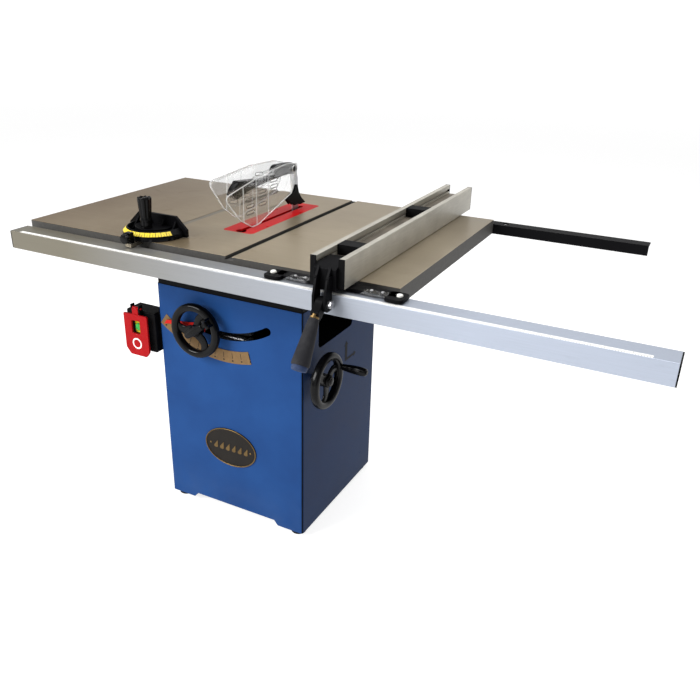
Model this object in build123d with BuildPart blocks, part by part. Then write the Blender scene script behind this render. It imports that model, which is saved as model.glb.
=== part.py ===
from build123d import *
from math import atan2, cos, degrees, pi, radians, sin, sqrt
import os

# Cabinet table saw with a left-tilting 10 inch blade, a T-square fence and a mitre gauge.
# Millimetres, +Z up, X to the right along the rails, Y to the back. The origin is on the floor
# under the middle of the whole saw. Sketches of the mechanism use three local planes whose origin
# is the tilt axis: across = distance right of the blade, along = distance behind the table's
# middle, up = height above the table top, which is negative below it.

os.makedirs("parts", exist_ok=True)

# overall sizes
table_height = 864
table_length = 1118
table_depth = 686
main_width = 508
cabinet_width = 474
cabinet_depth = 452
cabinet_height = 691
foot_height = 14
cabinet_shift_x = 15
cabinet_shift_y = -7
sheet = 2.5
running = 0.05
gap = 0.3

# table castings
plate = 12
skirt = 40
skirt_wall = 12
rib_wall = 10
slot_width = 19.05
slot_depth = 9.5
slot_tee_width = 24
slot_tee_height = 3.2
slot_left = -171
slot_right = 109
insert_width = 96
insert_length = 377
insert_middle = 37.5
insert_thick = 5
insert_radius = 12
insert_ledge = 10
finger_hole = 15

# blade, arbor and drive
blade_radius = 127
blade_plate = 2.4
arbor_radius = 7.94
arbor_low = -131
arbor_travel = 83
flange_radius = 30
washer_radius = 25
belt_plane = -69
belt_width = 18
arbor_pulley_radius = 28
motor_pulley_radius = 45
motor_along = 95
motor_drop = 120
motor_radius = 75
motor_length = 86
motor_face = -96

# tilt carriage
plate_front = -184
cradle_wall = 12
cradle_rim = 285
gear_radius = 288
gear_module = 3
worm_gap = 0.4
groove_middle = 85
groove_width = 14
shaft_swing = 272
shaft_angle = -15.2
wheel_shaft_radius = 8
sleeve_radius = 10.3
rod_across = -40
rod_along = 150
rod_radius = 10
screw_along = -112
screw_radius = 8
tilt_limit = 45

# handwheels
wheel_radius = 79
wheel_rim = 11
wheel_rim_depth = 12
hub_radius = 17
wheel_stand = 29
handle_length = 74
stud_radius = 4
fold_stand = 27
crank_lean = 35
tilt_shaft_along = -178
tilt_shaft_drop = 361
spur_radius = 30

# rails and fence
rail_left = -551
rail_right = 1130
rail_depth = 62
rail_height = 48
rail_wall = 3
rail_stand = 17
rail_drop = 12
rear_rail_right = 986
fence_centre = 419
beam_width = 55
face_thick = 14
face_height = 67
face_clear = 1
fence_front = -416
fence_back = 420
t_bar_half = 172
t_bar_front = -392
t_bar_back = -358
cursor_left = -85
cursor_right = 105
cursor_width = 54
cursor_depth = 36
lever_pivot_along = -441
lever_pivot_up = -28
grip_length = 118
grip_lean = 35

# mitre gauge
miter_along = -310
miter_pivot_along = -276
miter_radius = 84
miter_rim = 14
miter_face_half = 95
miter_face_top_half = 61
miter_face_height = 52
miter_face_end_height = 20
miter_face_stand = 9
miter_pin_radius = 6
miter_swing = 60
miter_bar_length = 491
miter_bar_front = -384

# guard
guard_pivot_along = 112
guard_pivot_up = 128
shield_across = 22
shield_wall = 3
left_shield_lift = 6

# places worked out from the sizes above
grip_reach = -lever_pivot_along + 47 + grip_length * sin(radians(grip_lean))
blade_x = (table_length / 2 - rail_right - 3) / 2
table_y = (grip_reach - fence_back - 3) / 2
half_main = main_width / 2
half_depth = table_depth / 2
cabinet_left = cabinet_shift_x - cabinet_width / 2
cabinet_right = cabinet_shift_x + cabinet_width / 2
cabinet_front = cabinet_shift_y - cabinet_depth / 2
cabinet_back = cabinet_shift_y + cabinet_depth / 2
cabinet_top = foot_height + cabinet_height
shaft_across = shaft_swing * sin(radians(shaft_angle))
shaft_up = -shaft_swing * cos(radians(shaft_angle))
motor_up = arbor_low - motor_drop
crank_place = wheel_radius - wheel_rim
worm_radius = 301 - gear_radius - gear_module * 2 / 3 - worm_gap
worm_drop = 301


def level(height):
    """A horizontal plane at a height above the floor, with its origin on the blade's plane."""
    return Plane((blade_x, table_y, height))


def facing(along):
    """An upright plane that faces the operator; a positive extrusion comes forward."""
    return Plane((blade_x, table_y + along, table_height), x_dir=(1, 0, 0), z_dir=(0, -1, 0))


def sideways(across):
    """An upright plane that faces right; its first axis runs to the back of the saw."""
    return Plane((blade_x + across, table_y, table_height), x_dir=(0, 1, 0), z_dir=(1, 0, 0))


def save(built, name):
    built.part.label = name
    export_step(built.part, f"parts/{name}.step")


def ring_sector(inner, outer, start, end):
    """A face between two radii about the tilt axis, between two angles from straight down."""
    with BuildSketch() as sector:
        with BuildLine():
            low, high = start - 90, end - 90
            first = CenterArc((0, 0), outer, low, high - low)
            second = CenterArc((0, 0), inner, low, high - low)
            Line(first @ 0, second @ 0)
            Line(first @ 1, second @ 1)
        make_face()
    return sector.sketch


def curved_slot(middle, width, start, end):
    """A round-ended band along a radius about the tilt axis, between two angles from straight down."""
    with BuildSketch() as slot:
        add(ring_sector(middle - width / 2, middle + width / 2, start, end))
        for angle in (start, end):
            with Locations((middle * sin(radians(angle)), -middle * cos(radians(angle)))):
                Circle(width / 2)
    return slot.sketch


# ---------------------------------------------------------------- cabinet and base

with BuildPart() as cabinet:
    with BuildSketch(level(foot_height)):
        with Locations((cabinet_shift_x, cabinet_shift_y)):
            RectangleRounded(cabinet_width, cabinet_depth, 8)
            RectangleRounded(cabinet_width - 2 * sheet, cabinet_depth - 2 * sheet, 8 - sheet,
                             mode=Mode.SUBTRACT)
    extrude(amount=cabinet_height)
    # corner plates that the feet screw through
    corner = 85
    with BuildSketch(level(foot_height)):
        with Locations((cabinet_shift_x, cabinet_shift_y)):
            with GridLocations(cabinet_width - corner, cabinet_depth - corner, 2, 2):
                RectangleRounded(corner, corner, 8)
            with GridLocations(cabinet_width - 60, cabinet_depth - 60, 2, 2):
                Circle(5.3, mode=Mode.SUBTRACT)
    extrude(amount=3)
    # toe cut-outs in the front and back walls leave corner feet
    toe_height = 15
    with BuildSketch(facing(cabinet_front - 1)):
        with Locations((cabinet_shift_x, foot_height - table_height + toe_height / 2)):
            Trapezoid(cabinet_width - 2 * corner, toe_height, 50)
    extrude(amount=-cabinet_depth - 2, mode=Mode.SUBTRACT)
    # the curved slot that the elevation shaft swings along
    with BuildSketch(facing(cabinet_front - 1)):
        add(curved_slot(shaft_swing, 2 * sleeve_radius + 2.4, shaft_angle - 2, shaft_angle + tilt_limit + 2))
    extrude(amount=-sheet - 2, mode=Mode.SUBTRACT)
    # the window in the right side, and the holes for the tilt shaft and the dust port
    with BuildSketch(sideways(cabinet_right + 1)):
        with Locations((-45, -210)):
            RectangleRounded(204, 160, 14)
        with Locations((tilt_shaft_along, -tilt_shaft_drop)):
            Circle(12)
    extrude(amount=-sheet - 2, mode=Mode.SUBTRACT)
    with BuildSketch(facing(cabinet_back + 1)):
        with Locations((cabinet_shift_x, -700)):
            Circle(46)
    extrude(amount=sheet + 2, mode=Mode.SUBTRACT)
save(cabinet, "cabinet")

with BuildPart() as top_frame:
    with BuildSketch(level(cabinet_top)):
        with Locations((cabinet_shift_x, cabinet_shift_y)):
            RectangleRounded(cabinet_width - 4, cabinet_depth - 4, 6)
            Rectangle(cabinet_width - 10, cabinet_depth - 10, mode=Mode.SUBTRACT)
    extrude(amount=table_height - skirt - cabinet_top)
save(top_frame, "top_frame")

with BuildPart() as levelling_feet:
    with Locations((blade_x + cabinet_shift_x, table_y + cabinet_shift_y)):
        with GridLocations(cabinet_width - 60, cabinet_depth - 60, 2, 2):
            Cylinder(22, 7, align=(Align.CENTER, Align.CENTER, Align.MIN))
            Cylinder(5, 40, align=(Align.CENTER, Align.CENTER, Align.MIN))
    with BuildSketch(level(7)):
        with Locations((cabinet_shift_x, cabinet_shift_y)):
            with GridLocations(cabinet_width - 60, cabinet_depth - 60, 2, 2):
                RegularPolygon(9.8, 6)
    extrude(amount=foot_height - 7)
save(levelling_feet, "levelling_feet")

# ---------------------------------------------------------------- table

opening_width = insert_width - 2 * insert_ledge
with BuildPart() as main_table:
    with BuildSketch(level(table_height)):
        Rectangle(main_width, table_depth)
    extrude(amount=-plate)
    with BuildSketch(level(table_height - plate)):
        Rectangle(main_width, table_depth)
        Rectangle(main_width - 2 * skirt_wall, table_depth - 2 * skirt_wall, mode=Mode.SUBTRACT)
        # pads that stand on the top frame
        with Locations((cabinet_shift_x / 2, cabinet_shift_y)):
            Rectangle(main_width - cabinet_shift_x, cabinet_depth)
            Rectangle(main_width - cabinet_shift_x - 4 * rib_wall, cabinet_depth - 16, mode=Mode.SUBTRACT)
    extrude(amount=plate - skirt)
    with BuildSketch(level(table_height - plate)):
        with Locations((slot_left, 0), (slot_right, 0)):
            Rectangle(slot_tee_width + 4, table_depth - 4)
    extrude(amount=-10)
    with BuildSketch(level(table_height - insert_thick)):
        with Locations((0, insert_middle)):
            RectangleRounded(insert_width + 2 * gap, insert_length + 2 * gap, insert_radius)
    extrude(amount=insert_thick, mode=Mode.SUBTRACT)
    with BuildSketch(level(table_height)):
        with Locations((0, insert_middle)):
            RectangleRounded(opening_width, insert_length - 2 * insert_ledge, 8)
    extrude(amount=-skirt, mode=Mode.SUBTRACT)
    # room under the ledge for the arbor's end at full height and tilt
    with BuildSketch(level(table_height - 9)):
        with Locations((opening_width / 2 + 15, 0)):
            Rectangle(40, 90)
    extrude(amount=-skirt, mode=Mode.SUBTRACT)
    with BuildSketch(level(table_height)):
        with Locations((slot_left, 0), (slot_right, 0)):
            Rectangle(slot_width, table_depth)
    extrude(amount=-slot_depth, mode=Mode.SUBTRACT)
    with BuildSketch(level(table_height - slot_depth)):
        with Locations((slot_left, 0), (slot_right, 0)):
            Rectangle(slot_tee_width, table_depth)
    extrude(amount=slot_tee_height, mode=Mode.SUBTRACT)
save(main_table, "main_table")


def make_wing(side):
    """One ribbed cast-iron wing beside the main table; side is -1 for the left one."""
    wing_width = (table_length - main_width) / 2
    middle = side * (half_main + wing_width / 2)
    with BuildPart() as wing:
        with BuildSketch(level(table_height)):
            with Locations((middle, 0)):
                Rectangle(wing_width, table_depth)
        extrude(amount=-plate)
        with BuildSketch(level(table_height - plate)):
            with Locations((middle, 0)):
                Rectangle(wing_width, table_depth)
                Rectangle(wing_width - 2 * skirt_wall, table_depth - 2 * skirt_wall, mode=Mode.SUBTRACT)
                Rectangle(rib_wall, table_depth - skirt_wall)
                with GridLocations(0, table_depth / 3, 1, 2):
                    Rectangle(wing_width - skirt_wall, rib_wall)
        extrude(amount=plate - skirt)
    return wing


left_wing = make_wing(-1)
save(left_wing, "left_wing")
right_wing = make_wing(1)
save(right_wing, "right_wing")

with BuildPart() as throat_plate:
    with BuildSketch(level(table_height)):
        with Locations((0, insert_middle)):
            RectangleRounded(insert_width, insert_length, insert_radius - gap)
        with Locations((2.5, 35)):
            SlotOverall(322, 13, rotation=90, mode=Mode.SUBTRACT)
        with Locations((4, -134)):
            Circle(finger_hole, mode=Mode.SUBTRACT)
    extrude(amount=-insert_thick)
    edge_rows = [(side * 40, along) for side in (-1, 1) for along in (-60, 120)]
    with BuildSketch(level(table_height)):
        with Locations(*edge_rows):
            Circle(3.2)
    extrude(amount=-1.5, mode=Mode.SUBTRACT)
save(throat_plate, "throat_plate")

# ---------------------------------------------------------------- rails

rail_back = -half_depth - rail_stand
with BuildPart() as front_rail:
    with BuildSketch(sideways(rail_left)):
        with Locations((rail_back - rail_depth / 2, -rail_drop - rail_height / 2)):
            RectangleRounded(rail_depth, rail_height, 1.5)
            Rectangle(rail_depth - 2 * rail_wall, rail_height - 2 * rail_wall, mode=Mode.SUBTRACT)
    extrude(amount=rail_right - rail_left)
save(front_rail, "front_rail")

with BuildPart() as rail_end_caps:
    for end, outward in ((rail_left, -1), (rail_right, 1)):
        with BuildSketch(sideways(end)):
            with Locations((rail_back - rail_depth / 2, -rail_drop - rail_height / 2)):
                RectangleRounded(rail_depth, rail_height, 3)
        extrude(amount=outward * 3)
        with BuildSketch(sideways(end)):
            with Locations((rail_back - rail_depth / 2, -rail_drop - rail_height / 2)):
                Rectangle(rail_depth - 2 * rail_wall - 0.4, rail_height - 2 * rail_wall - 0.4)
        extrude(amount=-outward * 18)
save(rail_end_caps, "rail_end_caps")

rear_rail_thick = 4
rear_rail_drop = 13
with BuildPart() as rear_rail:
    with BuildSketch(sideways(rail_left)):
        with BuildLine():
            Polyline(
                (half_depth, -rear_rail_drop),
                (half_depth + 40, -rear_rail_drop),
                (half_depth + 40, -rear_rail_drop - rear_rail_thick),
                (half_depth + rear_rail_thick, -rear_rail_drop - rear_rail_thick),
                (half_depth + rear_rail_thick, -rear_rail_drop - 28),
                (half_depth, -rear_rail_drop - 28),
                close=True,
            )
        make_face()
    extrude(amount=rear_rail_right - rail_left)
    with BuildSketch(level(table_height)):
        with Locations((590, half_depth + 22)):
            Circle(9)
    extrude(amount=-rear_rail_drop - 10, mode=Mode.SUBTRACT)
save(rear_rail, "rear_rail")

bolt_half_head = 6.5
rail_bolt_places = (-500, -300, -110, 110, 300, 500)
with BuildPart() as table_bolts:
    # spacers of the front rail, nuts of the rear rail, and the bolts of the wings
    with BuildSketch(facing(-half_depth)):
        with Locations(*[(x, -28) for x in rail_bolt_places]):
            Circle(9)
    extrude(amount=rail_stand)
    with BuildSketch(facing(half_depth + rear_rail_thick)):
        with Locations(*[(x, -29) for x in rail_bolt_places]):
            RegularPolygon(bolt_half_head, 6)
    extrude(amount=-6)
    for side in (-1, 1):
        with BuildSketch(sideways(side * (half_main + skirt_wall))):
            with Locations(*[(along, -28) for along in (-290, 0, 290)]):
                RegularPolygon(bolt_half_head, 6)
        extrude(amount=side * 7)
save(table_bolts, "table_bolts")


# ---------------------------------------------------------------- tilting mechanism

def make_trunnion(side):
    """The bracket under the table whose curved groove carries the cradle's shoe."""
    web_thick = 14
    web_face = side * (-plate_front + 2)
    with BuildPart() as trunnion:
        with BuildSketch(facing(web_face)):
            Circle(104)
            with Locations((0, 100 - plate)):
                Rectangle(300, 200, mode=Mode.SUBTRACT)
            with Locations((0, -60)):
                Rectangle(186, 200, mode=Mode.INTERSECT)
            add(curved_slot(groove_middle, groove_width, -24, tilt_limit + 24), mode=Mode.SUBTRACT)
        extrude(amount=-side * web_thick)
        with BuildSketch(facing(web_face + side * web_thick)):
            with Locations((0, -plate - 5)):
                Rectangle(186, 10)
        extrude(amount=-side * 10)
    return trunnion


front_trunnion = make_trunnion(-1)
save(front_trunnion, "front_trunnion")
rear_trunnion = make_trunnion(1)
save(rear_trunnion, "rear_trunnion")

with BuildPart() as tilt_cradle:
    for side in (-1, 1):
        inner_face = side * (-plate_front - cradle_wall)
        with BuildSketch(facing(inner_face)):
            add(ring_sector(60, cradle_rim, -47, 12))
            add(ring_sector(66, 98, -30, 30))
            with Locations((-53, -44)):
                Rectangle(74, 56)
            add(ring_sector(120, 240, -44, -24), mode=Mode.SUBTRACT)
        extrude(amount=-side * cradle_wall)
        # the shoe that rides in the trunnion's groove
        with BuildSketch(facing(-side * plate_front)):
            add(curved_slot(groove_middle, groove_width - 1, -22, 22))
        extrude(amount=-side * 14)
        # bosses that hold the guide rod, top and bottom
        for low, high in ((-34, -16), (-285, -265)):
            with BuildSketch(level(table_height + low)):
                with Locations((rod_across, side * 153)):
                    Rectangle(32, 38)
                with Locations((rod_across, side * rod_along)):
                    Circle(rod_radius, mode=Mode.SUBTRACT)
            extrude(amount=high - low)
    # side wall and lower tie that join the two plates
    with BuildSketch(facing(-plate_front - cradle_wall)):
        with Locations((-209.5, -120)):
            Rectangle(9, 140)
        with Locations((27, -270)):
            Rectangle(26, 18)
    extrude(amount=2 * (-plate_front - cradle_wall))
    # webs that carry the side wall out to the plates
    for side in (-1, 1):
        with BuildSketch(facing(side * (-plate_front - cradle_wall))):
            with Locations((-175, -175)):
                Rectangle(78, 30)
        extrude(amount=-side * cradle_wall)
    # gear teeth along the rim of the front plate
    with BuildSketch(facing(plate_front + cradle_wall)):
        add(ring_sector(cradle_rim - 2, cradle_rim + 0.5, -47, 2))
        tooth_step = degrees(gear_module * pi / gear_radius)
        for index in range(26):
            tooth_angle = -46.5 + index * tooth_step * 3.08
            if tooth_angle < 1.8:
                add(ring_sector(cradle_rim, gear_radius + 2, tooth_angle, tooth_angle + tooth_step * 0.45))
    extrude(amount=cradle_wall)
    # sleeve of the elevation shaft, and the lugs of the elevation screw
    with BuildSketch(facing(plate_front + cradle_wall)):
        with Locations((shaft_across, shaft_up)):
            Circle(sleeve_radius)
    extrude(amount=plate_front + cradle_wall - cabinet_front + 8)
    for low, high in ((-238, -226), (-40, -28)):
        with BuildSketch(level(table_height + low)):
            with Locations((shaft_across, screw_along - 27)):
                Rectangle(22, 76)
            with Locations((shaft_across, screw_along)):
                Circle(6 + running, mode=Mode.SUBTRACT)
        extrude(amount=high - low)
    with BuildSketch(facing(0)):
        with Locations((shaft_across, shaft_up)):
            Circle(wheel_shaft_radius + running)
    extrude(amount=260, mode=Mode.SUBTRACT)
    # clamp seat for the splitter, on the rear plate
    with BuildSketch(level(table_height - 150)):
        with Locations((0, 157)):
            Rectangle(24, 30)
            Rectangle(blade_plate, 40, mode=Mode.SUBTRACT)
    extrude(amount=50)
save(tilt_cradle, "tilt_cradle")

with BuildPart() as guide_rods:
    with BuildSketch(level(table_height - 285)):
        with Locations((rod_across, -rod_along), (rod_across, rod_along)):
            Circle(rod_radius)
    extrude(amount=285 - 16)
save(guide_rods, "guide_rods")

with BuildPart() as tilt_pointer:
    with BuildSketch(facing(cabinet_front - 4.5)):
        with BuildLine():
            Polyline(
                (shaft_across, shaft_up + 14),
                (shaft_across - 40, shaft_up + 9),
                (-190, -262),
                (-200, -275.5),
                (-184, -272),
                (shaft_across - 40, shaft_up - 5),
                (shaft_across, shaft_up - 14),
                close=True,
            )
        make_face()
        with Locations((shaft_across, shaft_up)):
            Circle(15)
            Circle(sleeve_radius, mode=Mode.SUBTRACT)
    extrude(amount=2.5)
save(tilt_pointer, "tilt_pointer")

# ---------------------------------------------------------------- elevation drive

wheel_plane = cabinet_front - wheel_stand


def make_handwheel(hub_plane):
    """Rim, three spokes and hub of one handwheel, facing along its plane."""
    with BuildPart() as wheel:
        with BuildSketch(Plane(hub_plane.origin, x_dir=hub_plane.x_dir, z_dir=hub_plane.y_dir)):
            with Locations((wheel_radius - wheel_rim, 0)):
                Ellipse(wheel_rim, wheel_rim_depth)
        revolve(axis=Axis(hub_plane.origin, hub_plane.z_dir))
        with BuildSketch(hub_plane.offset(-16)):
            Circle(hub_radius)
        extrude(amount=30)
        with BuildSketch(hub_plane.offset(-5)):
            with PolarLocations(wheel_radius / 2, 3, start_angle=30):
                Trapezoid(26, wheel_radius - 2 * wheel_rim, 84, rotation=-90)
        extrude(amount=9)
        with BuildSketch(hub_plane.offset(-30)):
            Circle(wheel_shaft_radius)
        extrude(amount=44, mode=Mode.SUBTRACT)
    return wheel


elevation_hub = Plane((blade_x + shaft_across, table_y + wheel_plane, table_height + shaft_up),
                      x_dir=(sin(radians(crank_lean)), 0, -cos(radians(crank_lean))), z_dir=(0, -1, 0))
with BuildPart() as elevation_handwheel:
    add(make_handwheel(elevation_hub).part)
    # two ears on the rim that hold the folding handle's pin
    with BuildSketch(elevation_hub.offset(4)):
        with Locations((-10, crank_place), (10, crank_place)):
            Rectangle(6, 15)
    extrude(amount=fold_stand)
    with BuildSketch(Plane(elevation_hub.from_local_coords((-20, crank_place, fold_stand)),
                           x_dir=elevation_hub.y_dir, z_dir=elevation_hub.x_dir)):
        Circle(3)
    extrude(amount=40, mode=Mode.SUBTRACT)
save(elevation_handwheel, "elevation_handwheel")

fold_pin = Plane(elevation_hub.from_local_coords((-13, crank_place, fold_stand)),
                 x_dir=elevation_hub.y_dir, z_dir=elevation_hub.x_dir)
fold_grip = Plane(elevation_hub.from_local_coords((0, crank_place - 8, fold_stand)),
                  x_dir=elevation_hub.x_dir, z_dir=-elevation_hub.y_dir)
with BuildPart() as elevation_handle:
    with BuildSketch(fold_pin):
        Circle(3 - running)
    extrude(amount=26)
    with BuildSketch(fold_pin.offset(6.5)):
        Circle(6.5)
        with Locations((-8, 0)):
            Rectangle(16, 10)
    extrude(amount=13)
    with BuildSketch(fold_grip.offset(4)):
        Circle(8.5)
    with BuildSketch(fold_grip.offset(handle_length * 0.55)):
        Circle(11.5)
    with BuildSketch(fold_grip.offset(handle_length)):
        Circle(9)
    loft()
save(elevation_handle, "elevation_handle")

bevel_reach = 19
bevel_gap = 0.6
with BuildPart() as elevation_shaft:
    shaft_start = wheel_plane - 14
    with BuildSketch(facing(shaft_start)):
        with Locations((shaft_across, shaft_up)):
            Circle(wheel_shaft_radius)
    extrude(amount=shaft_start - (screw_along - bevel_reach))
    # bevel gear, with its cone's tip on the screw's axis
    with BuildSketch(facing(screw_along - bevel_reach)):
        with Locations((shaft_across, shaft_up)):
            Circle(bevel_reach - bevel_gap)
    extrude(amount=-10, taper=45)
    with BuildSketch(facing(screw_along - bevel_reach)):
        with Locations((shaft_across, shaft_up)):
            Circle(14)
    extrude(amount=9)
save(elevation_shaft, "elevation_shaft")

with BuildPart() as elevation_screw:
    gear_top = table_height + shaft_up + bevel_reach
    with BuildSketch(level(gear_top)):
        with Locations((shaft_across, screw_along)):
            Circle(bevel_reach - bevel_gap)
    extrude(amount=-10, taper=45)
    with BuildSketch(level(gear_top)):
        with Locations((shaft_across, screw_along)):
            Circle(6)
    extrude(amount=table_height - 26 - gear_top)
    with BuildSketch(level(table_height - 225)):
        with Locations((shaft_across, screw_along)):
            Circle(screw_radius)
    extrude(amount=225 - 42)
save(elevation_screw, "elevation_screw")

# ---------------------------------------------------------------- arbor carriage

carriage_left = -50
carriage_wall = 12
motor_plate_wall = 12
with BuildPart() as arbor_carriage:
    with BuildSketch(sideways(carriage_left)):
        with BuildLine():
            Polyline(
                (-132, -222),
                (-132, -130),
                (-40, -101),
                (40, -101),
                (132, -130),
                (128, -235),
                (45, -312),
                (12, -312),
                (-60, -236),
                close=True,
            )
        make_face()
    extrude(amount=carriage_wall)
    # arbor housing
    with BuildSketch(sideways(carriage_left)):
        with Locations((0, arbor_low)):
            Circle(29)
    extrude(amount=36)
    # guide bosses
    with BuildSketch(level(table_height - 240)):
        with Locations((rod_across, -rod_along), (rod_across, rod_along)):
            Circle(18)
        with Locations((rod_across, -rod_along + 14), (rod_across, rod_along - 14)):
            Rectangle(20, 28)
    extrude(amount=120)
    # lug with the nut of the elevation screw
    with BuildSketch(level(table_height - 222)):
        with Locations((shaft_across + 5, screw_along)):
            Rectangle(40, 32)
    extrude(amount=30)
    with BuildSketch(level(table_height - 223)):
        with Locations((shaft_across, screw_along)):
            Circle(screw_radius + 0.1)
    extrude(amount=32, mode=Mode.SUBTRACT)
    # motor plate and the posts that carry it past the belt
    with BuildSketch(sideways(motor_face)):
        with Locations((motor_along, motor_up)):
            RectangleRounded(144, 144, 12)
            Circle(30, mode=Mode.SUBTRACT)
    extrude(amount=motor_plate_wall)
    with BuildSketch(sideways(motor_face + motor_plate_wall)):
        with Locations((150, -222), (30, -300)):
            Circle(8)
    extrude(amount=carriage_left - motor_face - motor_plate_wall)
    with BuildSketch(level(table_height - 241)):
        with Locations((rod_across, -rod_along), (rod_across, rod_along)):
            Circle(rod_radius + 0.08)
    extrude(amount=122, mode=Mode.SUBTRACT)
    # bore of the arbor bearings
    with BuildSketch(sideways(carriage_left - 1)):
        with Locations((0, arbor_low)):
            Circle(20)
    extrude(amount=40, mode=Mode.SUBTRACT)
save(arbor_carriage, "arbor_carriage")

with BuildPart() as arbor_bearings:
    for start in (carriage_left, carriage_left + 24):
        with BuildSketch(sideways(start)):
            with Locations((0, arbor_low)):
                Circle(20)
                Circle(10 + running, mode=Mode.SUBTRACT)
        extrude(amount=12)
save(arbor_bearings, "arbor_bearings")

flange_inner_face = -blade_plate / 2
with BuildPart() as arbor_shaft:
    with BuildSketch(sideways(belt_plane - 13)):
        with Locations((0, arbor_low)):
            Circle(10)
    extrude(amount=flange_inner_face - (belt_plane - 13))
    with BuildSketch(sideways(-12)):
        with Locations((0, arbor_low)):
            Circle(flange_radius)
    extrude(amount=12 + flange_inner_face)
    with BuildSketch(sideways(flange_inner_face)):
        with Locations((0, arbor_low)):
            Circle(arbor_radius)
    extrude(amount=26)
save(arbor_shaft, "arbor_shaft")

with BuildPart() as saw_blade:
    tooth_count = 40
    with BuildSketch(sideways(-blade_plate / 2)):
        with Locations((0, arbor_low)):
            Circle(blade_radius - 6)
            Circle(arbor_radius, mode=Mode.SUBTRACT)
            with PolarLocations(blade_radius - 7.5, tooth_count):
                Triangle(A=90, b=9, c=7.5)
    extrude(amount=blade_plate)
save(saw_blade, "saw_blade")

with BuildPart() as arbor_nut:
    with BuildSketch(sideways(blade_plate / 2)):
        with Locations((0, arbor_low)):
            Circle(washer_radius)
            Circle(arbor_radius, mode=Mode.SUBTRACT)
    extrude(amount=6)
    with BuildSketch(sideways(blade_plate / 2 + 6)):
        with Locations((0, arbor_low)):
            RegularPolygon(13.8, 6)
            Circle(arbor_radius, mode=Mode.SUBTRACT)
    extrude(amount=11)
save(arbor_nut, "arbor_nut")


def make_pulley(along, up, radius):
    """A grooved wheel: one profile turned about an axis that runs across the saw."""
    centre = (blade_x + belt_plane, table_y + along, table_height + up)
    half = belt_width / 2 + 2
    with BuildPart() as pulley:
        with BuildSketch(Plane(centre, x_dir=(1, 0, 0), z_dir=(0, -1, 0))):
            with BuildLine():
                Polyline(
                    (-half, 0),
                    (-half, radius),
                    (2 - half, radius),
                    (2 - half, radius - 3),
                    (half - 2, radius - 3),
                    (half - 2, radius),
                    (half, radius),
                    (half, 0),
                    close=True,
                )
            make_face()
        revolve(axis=Axis(centre, (1, 0, 0)))
    return pulley


with BuildPart() as arbor_pulley:
    add(make_pulley(0, arbor_low, arbor_pulley_radius).part)
    with BuildSketch(sideways(belt_plane - 20)):
        with Locations((0, arbor_low)):
            Circle(10)
    extrude(amount=40, mode=Mode.SUBTRACT)
save(arbor_pulley, "arbor_pulley")

with BuildPart() as motor_shaft:
    add(make_pulley(motor_along, motor_up, motor_pulley_radius).part)
    with BuildSketch(sideways(belt_plane)):
        with Locations((motor_along, motor_up)):
            Circle(12)
    extrude(amount=-27 - motor_length)
save(motor_shaft, "motor_shaft")

with BuildPart() as drive_belt:
    small = arbor_pulley_radius - 3 + gap
    large = motor_pulley_radius - 3 + gap
    span = sqrt(motor_along ** 2 + motor_drop ** 2)
    spread = degrees(atan2(large - small, span))
    heading = degrees(atan2(-motor_drop, motor_along))
    belt_plane_frame = Plane((blade_x + belt_plane - belt_width / 2 + 0.5, table_y, table_height + arbor_low),
                             x_dir=(0, cos(radians(heading)), sin(radians(heading))), z_dir=(1, 0, 0))
    with BuildSketch(belt_plane_frame):
        for extra, mode in ((5, Mode.ADD), (0, Mode.SUBTRACT)):
            small_out, large_out = small + extra, large + extra
            lean = radians(90 + spread)
            with BuildLine():
                top = Line((small_out * cos(lean), small_out * sin(lean)),
                           (span + large_out * cos(lean), large_out * sin(lean)))
                low = Line((small_out * cos(lean), -small_out * sin(lean)),
                           (span + large_out * cos(lean), -large_out * sin(lean)))
                ThreePointArc(top @ 0, (-small_out, 0), low @ 0)
                ThreePointArc(top @ 1, (span + large_out, 0), low @ 1)
            make_face(mode=mode)
    extrude(amount=belt_width - 1)
save(drive_belt, "drive_belt")

with BuildPart() as motor_body:
    with BuildSketch(sideways(motor_face)):
        with Locations((motor_along, motor_up)):
            Circle(motor_radius - 3)
            with PolarLocations(motor_radius - 4, 18):
                Rectangle(8, 4)
            Circle(12 + gap, mode=Mode.SUBTRACT)
    extrude(amount=-motor_length)
save(motor_body, "motor_body")

with BuildPart() as motor_fan_cover:
    with BuildSketch(sideways(motor_face - motor_length)):
        with Locations((motor_along, motor_up)):
            Circle(motor_radius - 4)
    extrude(amount=-17)
    fillet(motor_fan_cover.faces().sort_by(Axis.X)[0].edges(), 8)
    with BuildSketch(sideways(motor_face - motor_length)):
        with Locations((motor_along, motor_up)):
            Circle(motor_radius - 7)
    extrude(amount=-14, mode=Mode.SUBTRACT)
    with BuildSketch(sideways(motor_face - motor_length - 20)):
        with Locations((motor_along, motor_up)):
            with PolarLocations(40, 10):
                SlotOverall(34, 5, mode=Mode.ADD)
    extrude(amount=12, mode=Mode.SUBTRACT)
save(motor_fan_cover, "motor_fan_cover")

# ---------------------------------------------------------------- tilt drive

with BuildPart() as tilt_bearings:
    # two brackets that hold the worm shaft below the cradle's rim
    for start in (-55, 45):
        with BuildSketch(sideways(start)):
            with Locations(((cabinet_front + sheet - 167) / 2, -306)):
                Rectangle(-167 - cabinet_front - sheet, 27)
            with Locations((tilt_shaft_along, -worm_drop)):
                Circle(6 + running, mode=Mode.SUBTRACT)
        extrude(amount=10)
    block_left = cabinet_right - sheet - 25
    with BuildSketch(sideways(block_left)):
        with Locations((tilt_shaft_along, -333)):
            Rectangle(44, 98)
        with Locations((tilt_shaft_along, -worm_drop)):
            Circle(6 + running, mode=Mode.SUBTRACT)
        with Locations((tilt_shaft_along, -tilt_shaft_drop)):
            Circle(wheel_shaft_radius + running, mode=Mode.SUBTRACT)
    extrude(amount=25)
save(tilt_bearings, "tilt_bearings")

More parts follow.
